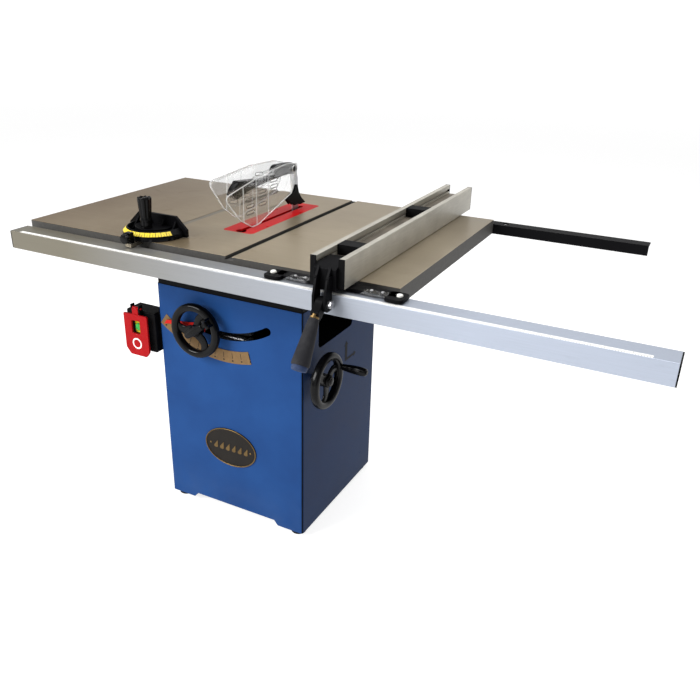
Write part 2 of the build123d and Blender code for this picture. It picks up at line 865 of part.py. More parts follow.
with BuildPart() as tilt_worm:
    with BuildSketch(sideways(-60)):
        with Locations((tilt_shaft_along, -worm_drop)):
            Circle(6)
    extrude(amount=60 + block_left + 20)
    with BuildSketch(sideways(-34)):
        with Locations((tilt_shaft_along, -worm_drop)):
            Circle(worm_radius - 1.5)
    extrude(amount=68)
    for index in range(12):
        with BuildSketch(sideways(-33 + index * 5.6)):
            with Locations((tilt_shaft_along, -worm_drop)):
                Circle(worm_radius)
        extrude(amount=2.6)
    with BuildSketch(sideways(block_left - 18)):
        with Locations((tilt_shaft_along, -worm_drop)):
            Circle(spur_radius - 0.8)
    extrude(amount=14)
save(tilt_worm, "tilt_worm")

with BuildPart() as tilt_shaft:
    with BuildSketch(sideways(block_left - 30)):
        with Locations((tilt_shaft_along, -tilt_shaft_drop)):
            Circle(wheel_shaft_radius)
    extrude(amount=cabinet_right + 58 - block_left + 30)
    with BuildSketch(sideways(block_left - 18)):
        with Locations((tilt_shaft_along, -tilt_shaft_drop)):
            Circle(spur_radius - 0.8)
    extrude(amount=14)
save(tilt_shaft, "tilt_shaft")

tilt_hub = Plane((blade_x + cabinet_right + 44, table_y + tilt_shaft_along, table_height - tilt_shaft_drop),
                 x_dir=(0, sin(radians(14)), -cos(radians(14))), z_dir=(1, 0, 0))
with BuildPart() as tilt_handwheel:
    add(make_handwheel(tilt_hub).part)
    # crank stud and the head that keeps the handle on it
    for start, radius, length in ((4, 9, 8), (12, stud_radius, handle_length), (12 + handle_length, 6.5, 2)):
        with BuildSketch(tilt_hub.offset(start)):
            with Locations((0, crank_place)):
                Circle(radius)
        extrude(amount=length)
save(tilt_handwheel, "tilt_handwheel")

stud_plane = Plane(tilt_hub.from_local_coords((0, crank_place, 0)), x_dir=tilt_hub.x_dir, z_dir=tilt_hub.z_dir)
with BuildPart() as tilt_handle:
    with BuildSketch(Plane(stud_plane.origin, x_dir=stud_plane.x_dir, z_dir=-stud_plane.y_dir)):
        with BuildLine():
            Polyline(
                (stud_radius + 0.1, 13),
                (9, 13),
                (11, 20),
                (12.5, 12 + handle_length * 0.7),
                (10.5, 11 + handle_length),
                (stud_radius + 0.1, 11 + handle_length),
                close=True,
            )
        make_face()
    revolve(axis=Axis(stud_plane.origin, stud_plane.z_dir))
save(tilt_handle, "tilt_handle")

with BuildPart() as bevel_scale:
    with BuildSketch(facing(cabinet_front)):
        add(ring_sector(314, 351, -38, 15))
    extrude(amount=1.5)
save(bevel_scale, "bevel_scale")

# ---------------------------------------------------------------- splitter and guard

with BuildPart() as splitter:
    with BuildSketch(sideways(-1.1)):
        with BuildLine():
            Polyline(
                (142, -150),
                (171, -150),
                (171, -10),
                (176, 10),
                (172, 90),
                (160, 122),
                (128, 122),
                (136, 60),
                (140, 0),
                close=True,
            )
        make_face()
    extrude(amount=2.2)
save(splitter, "splitter")

bridge_half = 8
with BuildPart() as guard_bridge:
    with BuildSketch(sideways(-bridge_half)):
        with BuildLine():
            Polyline(
                (-176, 104),
                (-144, 135),
                (-44, 124),
                (38, 136),
                (42, 150),
                (138, 140),
                (166, 124),
                (160, 110),
                (0, 108),
                (-100, 104),
                (-158, 89),
                close=True,
            )
        make_face()
    extrude(amount=2 * bridge_half)
    with BuildSketch(sideways(-1.2)):
        with BuildLine():
            Polyline((126, 100), (126, 123), (161, 123), (175, 100), close=True)
        make_face()
    extrude(amount=2.4, mode=Mode.SUBTRACT)
    with BuildSketch(sideways(-shield_across - shield_wall - 2)):
        with Locations((guard_pivot_along, guard_pivot_up)):
            Circle(5)
    extrude(amount=2 * (shield_across + shield_wall + 2))
save(guard_bridge, "guard_bridge")


def make_shield(side, lift):
    """One clear side shield; lift is how far it is swung up at rest, in degrees."""
    pivot = (blade_x + side * shield_across, table_y + guard_pivot_along, table_height + guard_pivot_up)
    frame = Plane(pivot, x_dir=(0, side * cos(radians(lift)), -side * sin(radians(lift))), z_dir=(side, 0, 0))
    outline = [(19, 15), (8, -35), (-17, -69), (-74, -86), (-195, -122), (-225, -122), (-280, -92),
               (-340, -30), (-340, -18), (-319, -13), (-160, 14), (-40, 22)]
    with BuildPart() as shield:
        with BuildSketch(frame):
            with BuildLine():
                Polyline(*[(side * y, z) for y, z in outline], close=True)
            make_face()
            Circle(5 + gap, mode=Mode.SUBTRACT)
            with Locations(*[(side * y, z) for y, z in ((-110, -30), (-170, -50), (-230, -62))]):
                with GridLocations(0, 17, 1, 3):
                    SlotOverall(34, 6, mode=Mode.SUBTRACT)
        extrude(amount=shield_wall)
        # rolled top edge
        with BuildSketch(frame):
            with BuildLine():
                Polyline(*[(side * y, z) for y, z in
                           ((-40, 22), (-160, 14), (-319, -13), (-319, -16), (-160, 11), (-40, 19))], close=True)
            make_face()
        extrude(amount=-10)
    return shield


guard_shield_right = make_shield(1, 0)
save(guard_shield_right, "guard_shield_right")
guard_shield_left = make_shield(-1, left_shield_lift)
save(guard_shield_left, "guard_shield_left")

with BuildPart() as kickback_pawls:
    for start in (2.5, -6.5):
        with BuildSketch(sideways(start)):
            with BuildLine():
                Polyline((104, 38), (126, 18), (136, 20), (146, 12), (160, 14), (178, 9), (208, 11),
                         (184, 30), (170, 48), (162, 72), (150, 74), (142, 54), close=True)
            make_face()
        extrude(amount=4)
save(kickback_pawls, "kickback_pawls")

# ---------------------------------------------------------------- fence

beam_top = 44
with BuildPart() as fence_t_bar:
    with BuildSketch(level(table_height - rail_drop + 2)):
        with Locations((fence_centre, (t_bar_front + t_bar_back) / 2)):
            Rectangle(2 * t_bar_half - 44, t_bar_back - t_bar_front)
        with Locations((fence_centre, -384)):
            with GridLocations(2 * t_bar_half - 44, 0, 2, 1):
                RectangleRounded(44, 52, 12)
            with GridLocations(2 * t_bar_half - 30, 0, 2, 1):
                Circle(4, mode=Mode.SUBTRACT)
    extrude(amount=8)
    # head that holds the beam, and the cheeks of the lever
    with BuildSketch(level(table_height - 2)):
        with Locations((fence_centre, (-352 - 430) / 2)):
            Rectangle(beam_width, 78)
    extrude(amount=56)
    with BuildSketch(sideways(fence_centre - 17)):
        with BuildLine():
            Polyline((-426, 40), (-430, 52), (-444, 30), (-456, -10), (-456, -40), (-446, -46), (-426, -46),
                     close=True)
        make_face()
    extrude(amount=34)
    with BuildSketch(sideways(fence_centre - 11)):
        with Locations((-458, -20)):
            Rectangle(54, 130)
        with Locations((-450, -40)):
            Rectangle(70, 70)
    extrude(amount=22, mode=Mode.SUBTRACT)
    with BuildSketch(sideways(fence_centre - 30)):
        with Locations((lever_pivot_along, lever_pivot_up)):
            Circle(5)
    extrude(amount=60, mode=Mode.SUBTRACT)
save(fence_t_bar, "fence_t_bar")

with BuildPart() as lever_bolt:
    with BuildSketch(sideways(fence_centre - 19)):
        with Locations((lever_pivot_along, lever_pivot_up)):
            Circle(5)
    extrude(amount=46)
    with BuildSketch(sideways(fence_centre + 17)):
        with Locations((lever_pivot_along, lever_pivot_up)):
            RegularPolygon(9, 6)
    extrude(amount=9)
save(lever_bolt, "lever_bolt")

grip_start = (lever_pivot_along - 30, lever_pivot_up - 22)
grip_axis = Plane((blade_x + fence_centre, table_y + grip_start[0], table_height + grip_start[1]),
                  x_dir=(1, 0, 0), z_dir=(0, -sin(radians(grip_lean)), -cos(radians(grip_lean))))
with BuildPart() as fence_lever:
    with BuildSketch(sideways(fence_centre - 10)):
        with Locations((lever_pivot_along, lever_pivot_up)):
            Circle(15)
        with BuildLine():
            Polyline((lever_pivot_along + 8, lever_pivot_up - 12), (lever_pivot_along - 8, lever_pivot_up + 12),
                     (grip_start[0] - 4, grip_start[1] + 10), (grip_start[0] + 8, grip_start[1] - 9), close=True)
        make_face()
        with Locations((lever_pivot_along, lever_pivot_up)):
            Circle(5 + running, mode=Mode.SUBTRACT)
    extrude(amount=20)
    with BuildSketch(grip_axis.offset(-6)):
        Circle(7)
    extrude(amount=grip_length * 0.6)
save(fence_lever, "fence_lever")

with BuildPart() as lever_grip:
    with BuildSketch(grip_axis.offset(4)):
        Circle(12)
    with BuildSketch(grip_axis.offset(grip_length - 8)):
        Circle(21)
    loft()
    with BuildSketch(grip_axis.offset(grip_length - 8)):
        Circle(18)
    extrude(amount=12)
    with BuildSketch(grip_axis):
        Circle(7)
    extrude(amount=grip_length * 0.6 - 6, mode=Mode.SUBTRACT)
save(lever_grip, "lever_grip")

with BuildPart() as fence_beam:
    with BuildSketch(facing(-352)):
        with Locations((fence_centre, (beam_top + 4) / 2)):
            Rectangle(beam_width, beam_top - 4)
            Rectangle(beam_width - 6, beam_top - 10, mode=Mode.SUBTRACT)
    extrude(amount=-352 - fence_back + 6)
save(fence_beam, "fence_beam")


def make_face_plate(side):
    """One aluminium face of the fence, with its two bolt grooves towards the beam."""
    middle = fence_centre + side * (beam_width + face_thick) / 2
    with BuildPart() as face_plate:
        with BuildSketch(facing(fence_front)):
            with Locations((middle, face_clear + face_height / 2)):
                RectangleRounded(face_thick, face_height, 1)
            groove = middle - side * (face_thick / 2 - 3)
            with Locations((groove, face_clear + 15), (groove, face_clear + 52)):
                Rectangle(6, 8, mode=Mode.SUBTRACT)
        extrude(amount=fence_front - fence_back)
    return face_plate


fence_face_left = make_face_plate(-1)
save(fence_face_left, "fence_face_left")
fence_face_right = make_face_plate(1)
save(fence_face_right, "fence_face_right")

with BuildPart() as fence_trim:
    for along, outward in ((fence_front, 1), (fence_back, -1)):
        with BuildSketch(facing(along)):
            for side in (-1, 1):
                with Locations((fence_centre + side * (beam_width + face_thick) / 2, face_clear + face_height / 2)):
                    Rectangle(face_thick, face_height)
        extrude(amount=outward * 3)
    for along in (-299, 98):
        with BuildSketch(sideways(fence_centre - beam_width / 2)):
            with BuildLine():
                Polyline((along - 20, beam_top), (along - 20, 68), (along + 20, 68), (along + 20, 65),
                         (along - 17, 65), (along - 17, beam_top), close=True)
            make_face()
        extrude(amount=beam_width)
save(fence_trim, "fence_trim")

with BuildPart() as fence_cursors:
    for middle in (cursor_left, cursor_right):
        with BuildSketch(level(table_height - 2)):
            with Locations((fence_centre + middle, -397)):
                RectangleRounded(cursor_width, cursor_depth, 4)
            with Locations((fence_centre + middle, t_bar_front + 6)):
                with GridLocations(26, 0, 2, 1):
                    Circle(2, mode=Mode.SUBTRACT)
        extrude(amount=3)
save(fence_cursors, "fence_cursors")

with BuildPart() as glide_pads:
    with BuildSketch(level(table_height - 2)):
        with Locations((fence_centre, -384)):
            with GridLocations(2 * t_bar_half - 30, 0, 2, 1):
                Circle(7)
    extrude(amount=3)
    with BuildSketch(level(table_height - rail_drop + gap)):
        with Locations((fence_centre, -384)):
            with GridLocations(2 * t_bar_half - 30, 0, 2, 1):
                Circle(4)
    extrude(amount=rail_drop - 2 - gap)
    with BuildSketch(level(table_height - rear_rail_drop + gap)):
        with Locations((fence_centre, half_depth + 22)):
            Rectangle(30, 26)
    extrude(amount=rear_rail_drop + 4 - gap)
save(glide_pads, "glide_pads")

# ---------------------------------------------------------------- mitre gauge

stop_up = 14.5
disc_height = 24
disc_top = 1 + disc_height
knob_height = 78
with BuildPart() as miter_bar:
    with BuildSketch(sideways(slot_left - slot_width / 2 + 0.15)):
        with Locations((miter_bar_front + miter_bar_length / 2, -4.9)):
            Rectangle(miter_bar_length, 9)
    extrude(amount=slot_width - 0.3)
    # pivot pin of the head, and the stud that the knob screws down on
    with BuildSketch(level(table_height - 1)):
        with Locations((slot_left, miter_pivot_along)):
            Circle(miter_pin_radius)
    extrude(amount=disc_top)
    with BuildSketch(level(table_height - 1)):
        with Locations((slot_left, miter_along)):
            Circle(miter_pin_radius)
    extrude(amount=disc_top + knob_height + 1)
    # block at the front end that guides the stop
    with BuildSketch(level(table_height - 0.4)):
        with Locations((slot_left, miter_bar_front + 7)):
            Rectangle(slot_width - 1.05, 14)
    extrude(amount=28)
    with BuildSketch(facing(miter_bar_front + 15)):
        with Locations((slot_left, stop_up)):
            Circle(4 + running)
    extrude(amount=16, mode=Mode.SUBTRACT)
save(miter_bar, "miter_bar")

face_front = miter_pivot_along + miter_face_stand
slot_swing = miter_pivot_along - miter_along
with BuildPart() as miter_head:
    with BuildSketch(level(table_height + 1)):
        with Locations((slot_left, miter_pivot_along)):
            Circle(miter_radius)
        with Locations((slot_left, face_front + 100)):
            Rectangle(2 * miter_radius, 200, mode=Mode.SUBTRACT)
    extrude(amount=8)
    # raised rim for the scale, and the boss that the knob clamps
    with BuildSketch(level(table_height + 1)):
        with Locations((slot_left, miter_pivot_along)):
            Circle(miter_radius)
            Circle(miter_radius - miter_rim, mode=Mode.SUBTRACT)
            Circle(52)
        with Locations((slot_left, face_front + 100)):
            Rectangle(2 * miter_radius, 200, mode=Mode.SUBTRACT)
    extrude(amount=disc_height)
    # working face, highest in the middle
    with BuildSketch(facing(face_front + 9)):
        with BuildLine():
            Polyline(
                (slot_left - miter_face_half, 1),
                (slot_left - miter_face_half, miter_face_end_height),
                (slot_left - miter_face_top_half, miter_face_height),
                (slot_left + miter_face_top_half, miter_face_height),
                (slot_left + miter_face_half, miter_face_end_height),
                (slot_left + miter_face_half, 1),
                close=True,
            )
        make_face()
    extrude(amount=9)
    # pin hole, and the arc slot that passes the knob's stud
    with BuildSketch(level(table_height)):
        with Locations((slot_left, miter_pivot_along)):
            Circle(miter_pin_radius + running)
    extrude(amount=disc_top + 1, mode=Mode.SUBTRACT)
    with BuildSketch(level(table_height)):
        with Locations((slot_left, miter_pivot_along)):
            add(curved_slot(slot_swing, 2 * (miter_pin_radius + gap), -miter_swing, miter_swing))
    extrude(amount=disc_top + 1, mode=Mode.SUBTRACT)
save(miter_head, "miter_head")

knob_base = table_height + disc_top + 2
with BuildPart() as miter_handle:
    with BuildSketch(level(knob_base)):
        with Locations((slot_left, miter_along)):
            Circle(15)
    extrude(amount=18)
    with BuildSketch(level(knob_base + 18)):
        with Locations((slot_left, miter_along)):
            Circle(18.5)
            with PolarLocations(19.5, 8):
                Circle(2.6, mode=Mode.SUBTRACT)
    extrude(amount=knob_height - 18)
    with BuildSketch(level(table_height)):
        with Locations((slot_left, miter_along)):
            Circle(miter_pin_radius + running)
    extrude(amount=disc_top + knob_height + 0.5, mode=Mode.SUBTRACT)
save(miter_handle, "miter_handle")

with BuildPart() as miter_stop:
    with BuildSketch(facing(miter_bar_front + 15)):
        with Locations((slot_left, stop_up)):
            Circle(4)
    extrude(amount=22)
    with BuildSketch(facing(miter_bar_front - 2)):
        with Locations((slot_left, stop_up)):
            Circle(13)
            with PolarLocations(13.5, 8):
                Circle(2, mode=Mode.SUBTRACT)
    extrude(amount=13)
save(miter_stop, "miter_stop")

# ---------------------------------------------------------------- switch, nameplate, dust port

switch_right = cabinet_left - 4
switch_width = 104
switch_front = -248
button_radius = 11
with BuildPart() as switch_box:
    with BuildSketch(facing(-193)):
        with Locations((switch_right - switch_width / 2, -311)):
            RectangleRounded(switch_width, 121, 6)
    extrude(amount=-193 - switch_front)
    fillet(switch_box.faces().sort_by(Axis.Y)[0].edges(), 3)
    # mounting bracket, flat on the cabinet's side
    with BuildSketch(sideways(cabinet_left)):
        with Locations((-190, -300)):
            Rectangle(80, 120)
    extrude(amount=-4)
    # lugs of the paddle's hinge
    with BuildSketch(sideways(switch_right - switch_width / 2 - 24)):
        with Locations((switch_front - 6, -240)):
            Rectangle(14, 22)
        with Locations((switch_front - 3, -250)):
            Rectangle(7, 40)
    extrude(amount=4)
    with BuildSketch(sideways(switch_right - switch_width / 2 + 4)):
        with Locations((switch_front - 6, -240)):
            Rectangle(14, 22)
        with Locations((switch_front - 3, -250)):
            Rectangle(7, 40)
    extrude(amount=4)
    with BuildSketch(sideways(switch_right - switch_width)):
        with Locations((switch_front - 8, -240)):
            Circle(3 + running)
    extrude(amount=switch_width, mode=Mode.SUBTRACT)
    with BuildSketch(facing(switch_front)):
        with Locations((switch_right - switch_width / 2 - 8, -300)):
            Circle(button_radius + gap)
    extrude(amount=-30, mode=Mode.SUBTRACT)
save(switch_box, "switch_box")

paddle_middle = switch_right - switch_width / 2 - 8
with BuildPart() as stop_paddle:
    with BuildSketch(facing(switch_front - 10)):
        with Locations((paddle_middle, -322)):
            RectangleRounded(86, 128, 10)
        with Locations((paddle_middle, -297)):
            Rectangle(30, 40, mode=Mode.SUBTRACT)
    extrude(amount=6)
    with BuildSketch(sideways(paddle_middle - 11)):
        with Locations((switch_front - 8, -240)):
            Circle(5)
        with Locations((switch_front - 11, -254)):
            Rectangle(6, 28)
        with Locations((switch_front - 8, -240)):
            Circle(3, mode=Mode.SUBTRACT)
    extrude(amount=22)
    with BuildSketch(sideways(paddle_middle - 19)):
        with Locations((switch_front - 8, -240)):
            Circle(3)
    extrude(amount=38)
save(stop_paddle, "stop_paddle")

with BuildPart() as start_button:
    with BuildSketch(facing(switch_front + 20)):
        with Locations((paddle_middle, -300)):
            Circle(button_radius)
    extrude(amount=27)
save(start_button, "start_button")

with BuildPart() as nameplate:
    with BuildSketch(facing(cabinet_front)):
        with Locations((9, -628)):
            Ellipse(89, 62)
    extrude(amount=2)
save(nameplate, "nameplate")

with BuildPart() as dust_port:
    with BuildSketch(facing(cabinet_back + 4)):
        with Locations((cabinet_shift_x, -700)):
            RectangleRounded(130, 130, 8)
            Circle(46, mode=Mode.SUBTRACT)
    extrude(amount=4)
    with BuildSketch(facing(cabinet_back + 42)):
        with Locations((cabinet_shift_x, -700)):
            Circle(50)
            Circle(46, mode=Mode.SUBTRACT)
    extrude(amount=38)
save(dust_port, "dust_port")
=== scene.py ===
import math

import bmesh
import bpy
import numpy as np
from mathutils import Matrix, Vector


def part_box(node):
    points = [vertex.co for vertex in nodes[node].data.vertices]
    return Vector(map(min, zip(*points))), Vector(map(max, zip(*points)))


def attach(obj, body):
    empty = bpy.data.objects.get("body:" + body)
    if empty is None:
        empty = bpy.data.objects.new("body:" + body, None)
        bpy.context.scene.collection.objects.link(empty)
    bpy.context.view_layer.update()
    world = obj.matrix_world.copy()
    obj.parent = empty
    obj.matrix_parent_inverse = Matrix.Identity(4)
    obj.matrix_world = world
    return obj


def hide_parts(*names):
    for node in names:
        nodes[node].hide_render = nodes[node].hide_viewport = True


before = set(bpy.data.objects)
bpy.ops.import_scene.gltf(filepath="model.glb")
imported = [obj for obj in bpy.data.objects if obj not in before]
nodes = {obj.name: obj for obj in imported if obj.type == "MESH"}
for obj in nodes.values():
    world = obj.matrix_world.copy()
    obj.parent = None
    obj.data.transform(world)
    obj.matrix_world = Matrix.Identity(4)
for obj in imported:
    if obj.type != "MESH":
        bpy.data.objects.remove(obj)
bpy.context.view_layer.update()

# reference places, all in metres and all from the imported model
tableLow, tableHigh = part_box("main_table")
bladeLow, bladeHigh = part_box("saw_blade")
tableTop = tableHigh.z
bladeX = (bladeLow.x + bladeHigh.x) / 2
tableY = (tableLow.y + tableHigh.y) / 2
print("frame loaded")


def middle(node):  # centre of a CAD node's box
    low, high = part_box(node)
    return (low + high) / 2


def spot(across, along, up):  # mm from the blade plane, the table's middle and the table top
    return Vector((bladeX + across / 1000, tableY + along / 1000, tableTop + up / 1000))


# shader maths: a socket that can be added, multiplied and compared like a number


class Signal:
    def __init__(self, finish, socket):
        self.finish = finish
        self.socket = socket

    def maths(self, operation, first, second=None, third=None):
        node = self.finish.add("ShaderNodeMath", {"operation": operation}, {0: first, 1: second, 2: third})
        return node.value()

    def __add__(self, other):
        return self.maths("ADD", self, other)

    def __radd__(self, other):
        return self.maths("ADD", other, self)

    def __sub__(self, other):
        return self.maths("SUBTRACT", self, other)

    def __rsub__(self, other):
        return self.maths("SUBTRACT", other, self)

    def __mul__(self, other):
        return self.maths("MULTIPLY", self, other)

    def __rmul__(self, other):
        return self.maths("MULTIPLY", other, self)

    def __truediv__(self, other):
        return self.maths("DIVIDE", self, other)

    def __rtruediv__(self, other):
        return self.maths("DIVIDE", other, self)

    def __neg__(self):
        return self.maths("MULTIPLY", self, -1.0)

    def __abs__(self):
        return self.maths("ABSOLUTE", self)

    def __lt__(self, other):
        return self.maths("LESS_THAN", self, other)

    def __gt__(self, other):
        return self.maths("GREATER_THAN", self, other)

    def clamped(self):
        return self.maths("MINIMUM", self.maths("MAXIMUM", self, 0.0), 1.0)

    def fraction(self):
        return self.maths("FRACT", self)

    def root(self):
        return self.maths("SQRT", self)

    def angleTo(self, other):  # degrees of the direction (other, self)
        return self.maths("ARCTAN2", self, other) * (180 / math.pi)

    def larger(self, other):
        return self.maths("MAXIMUM", self, other)

    def between(self, low, high):  # 1 inside the band, 0 outside
        return (self > low) * (self < high)

    def fade(self, low, high):  # 0 at low, 1 at high, straight between
        return ((self - low) * (1 / (high - low))).clamped()


class MadeNode:
    def __init__(self, finish, node):
        self.finish = finish
        self.node = node

    def value(self, name=0):
        return Signal(self.finish, self.node.outputs[name])


class Finish:
    def __init__(self, name, **constants):
        self.material = bpy.data.materials.new(name)
        self.material.use_nodes = True
        self.tree = self.material.node_tree
        self.shader = self.tree.nodes["Principled BSDF"]
        for key, number in constants.items():
            self.shader.inputs[socketNames[key]].default_value = number
        self.place = None

    def add(self, kind, settings=None, inputs=None):
        node = self.tree.nodes.new(kind)
        for key, setting in (settings or {}).items():
            setattr(node, key, setting)
        for key, source in (inputs or {}).items():
            self.join(source, node.inputs[key])
        return MadeNode(self, node)

    def join(self, source, socket):
        if isinstance(source, Signal):
            self.tree.links.new(source.socket, socket)
        elif source is not None:
            socket.default_value = source

    def coords(self, centre=(0, 0, 0), scale=(1, 1, 1)):  # Object coordinates, centred and stretched
        texture = self.add("ShaderNodeTexCoord").value("Object")
        moved = self.add("ShaderNodeVectorMath", {"operation": "SUBTRACT"},
                         {0: texture, 1: tuple(centre)}).value()
        return self.add("ShaderNodeVectorMath", {"operation": "MULTIPLY"}, {0: moved, 1: scale}).value()

    def axes(self, centre=(0, 0, 0)):
        node = self.add("ShaderNodeSeparateXYZ", None, {0: self.coords(centre)})
        return node.value("X"), node.value("Y"), node.value("Z")

    def noise(self, scale, detail=3.0, rough=0.55, stretch=(1, 1, 1), warp=0.0):
        sockets = {"Vector": self.coords(scale=stretch), "Scale": scale, "Detail": detail,
                   "Roughness": rough, "Distortion": warp}
        return self.add("ShaderNodeTexNoise", None, sockets).value("Fac")

    def cells(self, scale, stretch=(1, 1, 1)):
        sockets = {"Vector": self.coords(scale=stretch), "Scale": scale}
        return self.add("ShaderNodeTexVoronoi", {"feature": "F1"}, sockets).value("Distance")

    def mix(self, factor, colourA, colourB):
        node = self.add("ShaderNodeMix", {"data_type": "RGBA"}, {0: factor, 6: full(colourA),
                                                                 7: full(colourB)})
        return node.value(2)

    def colour(self, source):
        self.join(full(source), self.shader.inputs["Base Color"])

    def roughness(self, source):
        self.join(source, self.shader.inputs["Roughness"])

    def metallic(self, source):
        self.join(source, self.shader.inputs["Metallic"])

    def bump(self, height, depth, strength=1.0):  # depth in metres
        node = self.add("ShaderNodeBump", None, {"Strength": strength, "Distance": depth, "Height": height})
        self.join(node.value(), self.shader.inputs["Normal"])


socketNames = {"rough": "Roughness", "coat": "Coat Weight", "coatRough": "Coat Roughness", "ior": "IOR",
               "glass": "Transmission Weight", "specular": "Specular IOR Level", "glow": "Emission Strength",
               "alpha": "Alpha"}


def full(colour):  # a colour with its alpha, or a socket as it is
    if isinstance(colour, Signal):
        return colour
    return (*colour, 1.0)


def rgb(red, green, blue):  # 0 to 255 as seen on a screen, to linear light
    seen = np.array([red, green, blue]) / 255
    return tuple(float(v) for v in np.where(seen <= 0.04045, seen / 12.92, ((seen + 0.055) / 1.055) ** 2.4))


# finishes


def paintedSteel(name, colour, darker, rough=0.34, peel=0.00006, dust=None, shade=None):
    finish = Finish(name, specular=0.05)
    clouds = finish.noise(5.0, 4.0)
    grain = finish.noise(420.0, 2.0)
    scuffs = finish.noise(26.0, 6.0, 0.7).fade(0.62, 0.78)
    paint = finish.mix(clouds.fade(0.3, 0.7), darker, colour)
    if dust:
        x, y, z = finish.axes()
        low = 1 - z.fade(0.0, dust["height"])
        settled = (low * finish.noise(18.0, 5.0).fade(0.35, 0.75) * dust["amount"]).clamped()
        paint = finish.mix(settled, paint, dust["colour"])
    if shade:  # painted shade: the inside faces near black, the side away from the lamps darker
        x, y, z = finish.axes()
        low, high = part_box("cabinet")
        skin = shade["skin"]
        inside = x.between(low.x + skin, high.x - skin) * y.between(low.y + skin, high.y - skin)
        shadedSide = (x > high.x - skin) * shade["amount"]
        paint = finish.mix(inside.larger(shadedSide), paint, shade["colour"])
    finish.colour(paint)
    finish.roughness(rough + 0.10 * clouds + 0.16 * scuffs)
    finish.bump(grain, peel, 0.6)
    return finish.material


def groundIron():  # bright ground top with a painted reflection across it, matt painted sides and slots
    finish = Finish("groundIron")
    x, y, z = finish.axes()
    top = z > tableTop - 0.0006
    brown = groundTop["brown"]
    grey = groundTop["grey"]
    clouds = finish.noise(2.6, 5.0, 0.6, warp=0.6)
    streaks = finish.noise(90.0, 4.0, 0.7, stretch=(0.06, 1.0, 1.0))
    fine = finish.noise(900.0, 2.0, 0.6, stretch=(0.05, 1.0, 1.0))
    # painted reflection: brown at the left of the top, light grey towards the right
    across = x.fade(bladeX - 0.55, bladeX + 0.42)
    tone = (across * 0.75 + (clouds - 0.5) * 0.9 + (streaks - 0.5) * 0.25).clamped()
    ground = finish.mix(tone, brown, grey)
    # painted reflection: darker again towards the right wing and the rear
    reflectionFade = x.fade(bladeX + 0.12, bladeX + 0.42) * 0.42 + y.fade(tableY, tableY + 0.34) * 0.24
    ground = finish.mix(reflectionFade.clamped(), ground, groundTop["reflectionDark"])
    stains = finish.noise(9.0, 7.0, 0.68, warp=1.2).fade(0.60, 0.78)
    ground = finish.mix(stains * 0.35, ground, groundTop["stain"])
    cast = finish.noise(160.0, 5.0, 0.7)
    side = finish.mix(cast, groundTop["sideDark"], groundTop["side"])
    finish.colour(finish.mix(top, side, ground))
    finish.metallic(0.25 + top * 0.5)
    finish.roughness(0.62 - top * 0.36 + top * (clouds * 0.16) + top * (stains * 0.14) + (streaks - 0.5) * 0.06)
    height = top * (fine * 0.15) + (1 - top) * (cast * 0.9)
    finish.bump(height, 0.00022, 0.7)
    return finish.material


def brushedMetal(name, colour, shade, rough=0.3, along=(0.04, 1.0, 1.0), metal=0.85, scale=600.0,
                 blackAbove=None):
    finish = Finish(name)
    lines = finish.noise(scale, 3.0, 0.65, stretch=along)
    smears = finish.noise(14.0, 5.0, 0.6)
    tone = finish.mix((lines * 0.5 + smears * 0.5).fade(0.3, 0.7), shade, colour)
    if blackAbove:
        tone = finish.mix(finish.axes()[2] > blackAbove, tone, rgb(12, 12, 13))
    finish.colour(tone)
    finish.metallic(metal)
    finish.roughness(rough + (lines - 0.5) * 0.12 + smears * 0.12)
    finish.bump(lines, 0.00004, 0.5)
    return finish.material


def railMetal():  # extruded aluminium with a painted reflection, warmer and darker towards its left end
    finish = Finish("railMetal")
    x, y, z = finish.axes()
    lines = finish.noise(500.0, 3.0, 0.6, stretch=(0.02, 1.0, 1.0))
    marks = finish.noise(30.0, 6.0, 0.7, stretch=(0.3, 1.0, 1.0)).fade(0.6, 0.8)
    # painted reflection: warm and dark at the left end, light and bluish at the right
    along = x.fade(bladeX - 0.35, bladeX + 0.75)
    base = finish.mix(along, railTone["left"], railTone["right"])
    finish.colour(finish.mix(lines * 0.18 + marks * 0.12, base, railTone["dark"]))
    finish.metallic(0.55)
    finish.roughness(0.36 + (lines - 0.5) * 0.14 + marks * 0.1)
    finish.bump(lines, 0.00005, 0.5)
    return finish.material


def mouldedPlastic(name, colour, lighter, rough=0.42, texture=900.0, depth=0.00008, coat=0.0):
    finish = Finish(name, coat=coat, coatRough=0.08, specular=0.05)
    pits = finish.cells(texture)
    worn = finish.noise(35.0, 5.0, 0.65)
    finish.colour(finish.mix(worn.fade(0.45, 0.85), colour, lighter))
    finish.roughness(rough + (worn - 0.5) * 0.18)
    finish.bump(pits, depth, 0.5)
    return finish.material


def castIronPaint(name, colour, lighter, rough=0.55):
    finish = Finish(name, specular=0.2)
    sand = finish.noise(240.0, 5.0, 0.7)
    drips = finish.noise(22.0, 4.0, 0.6)
    finish.colour(finish.mix(drips.fade(0.3, 0.75), colour, lighter))
    finish.roughness(rough + (sand - 0.5) * 0.2)
    finish.bump(sand, 0.0003, 0.6)
    return finish.material


def clearPlastic(name, tint, haze=0.02, ripple=0.0003, scale=70.0, alpha=0.26):
    finish = Finish(name, glass=1.0, ior=1.4, alpha=alpha)
    waves = finish.noise(scale, 3.0, 0.6, warp=0.8)
    fine = finish.noise(400.0, 2.0, 0.5)
    finish.colour(finish.mix(waves, tint, (1.0, 1.0, 1.0)))
    finish.roughness(haze + waves * 0.03 + fine * 0.01)
    finish.bump(waves, ripple, 0.55)
    return finish.material


def edgePlastic():  # thicker clear plastic seen end on, with a painted highlight: milky and bright
    finish = Finish("guardEdge", glass=0.35, ior=1.47, alpha=0.62)
    waves = finish.noise(60.0, 3.0)
    finish.colour(finish.mix(waves, (0.80, 0.82, 0.82), (0.96, 0.97, 0.97)))
    finish.roughness(0.16 + waves * 0.12)
    return finish.material


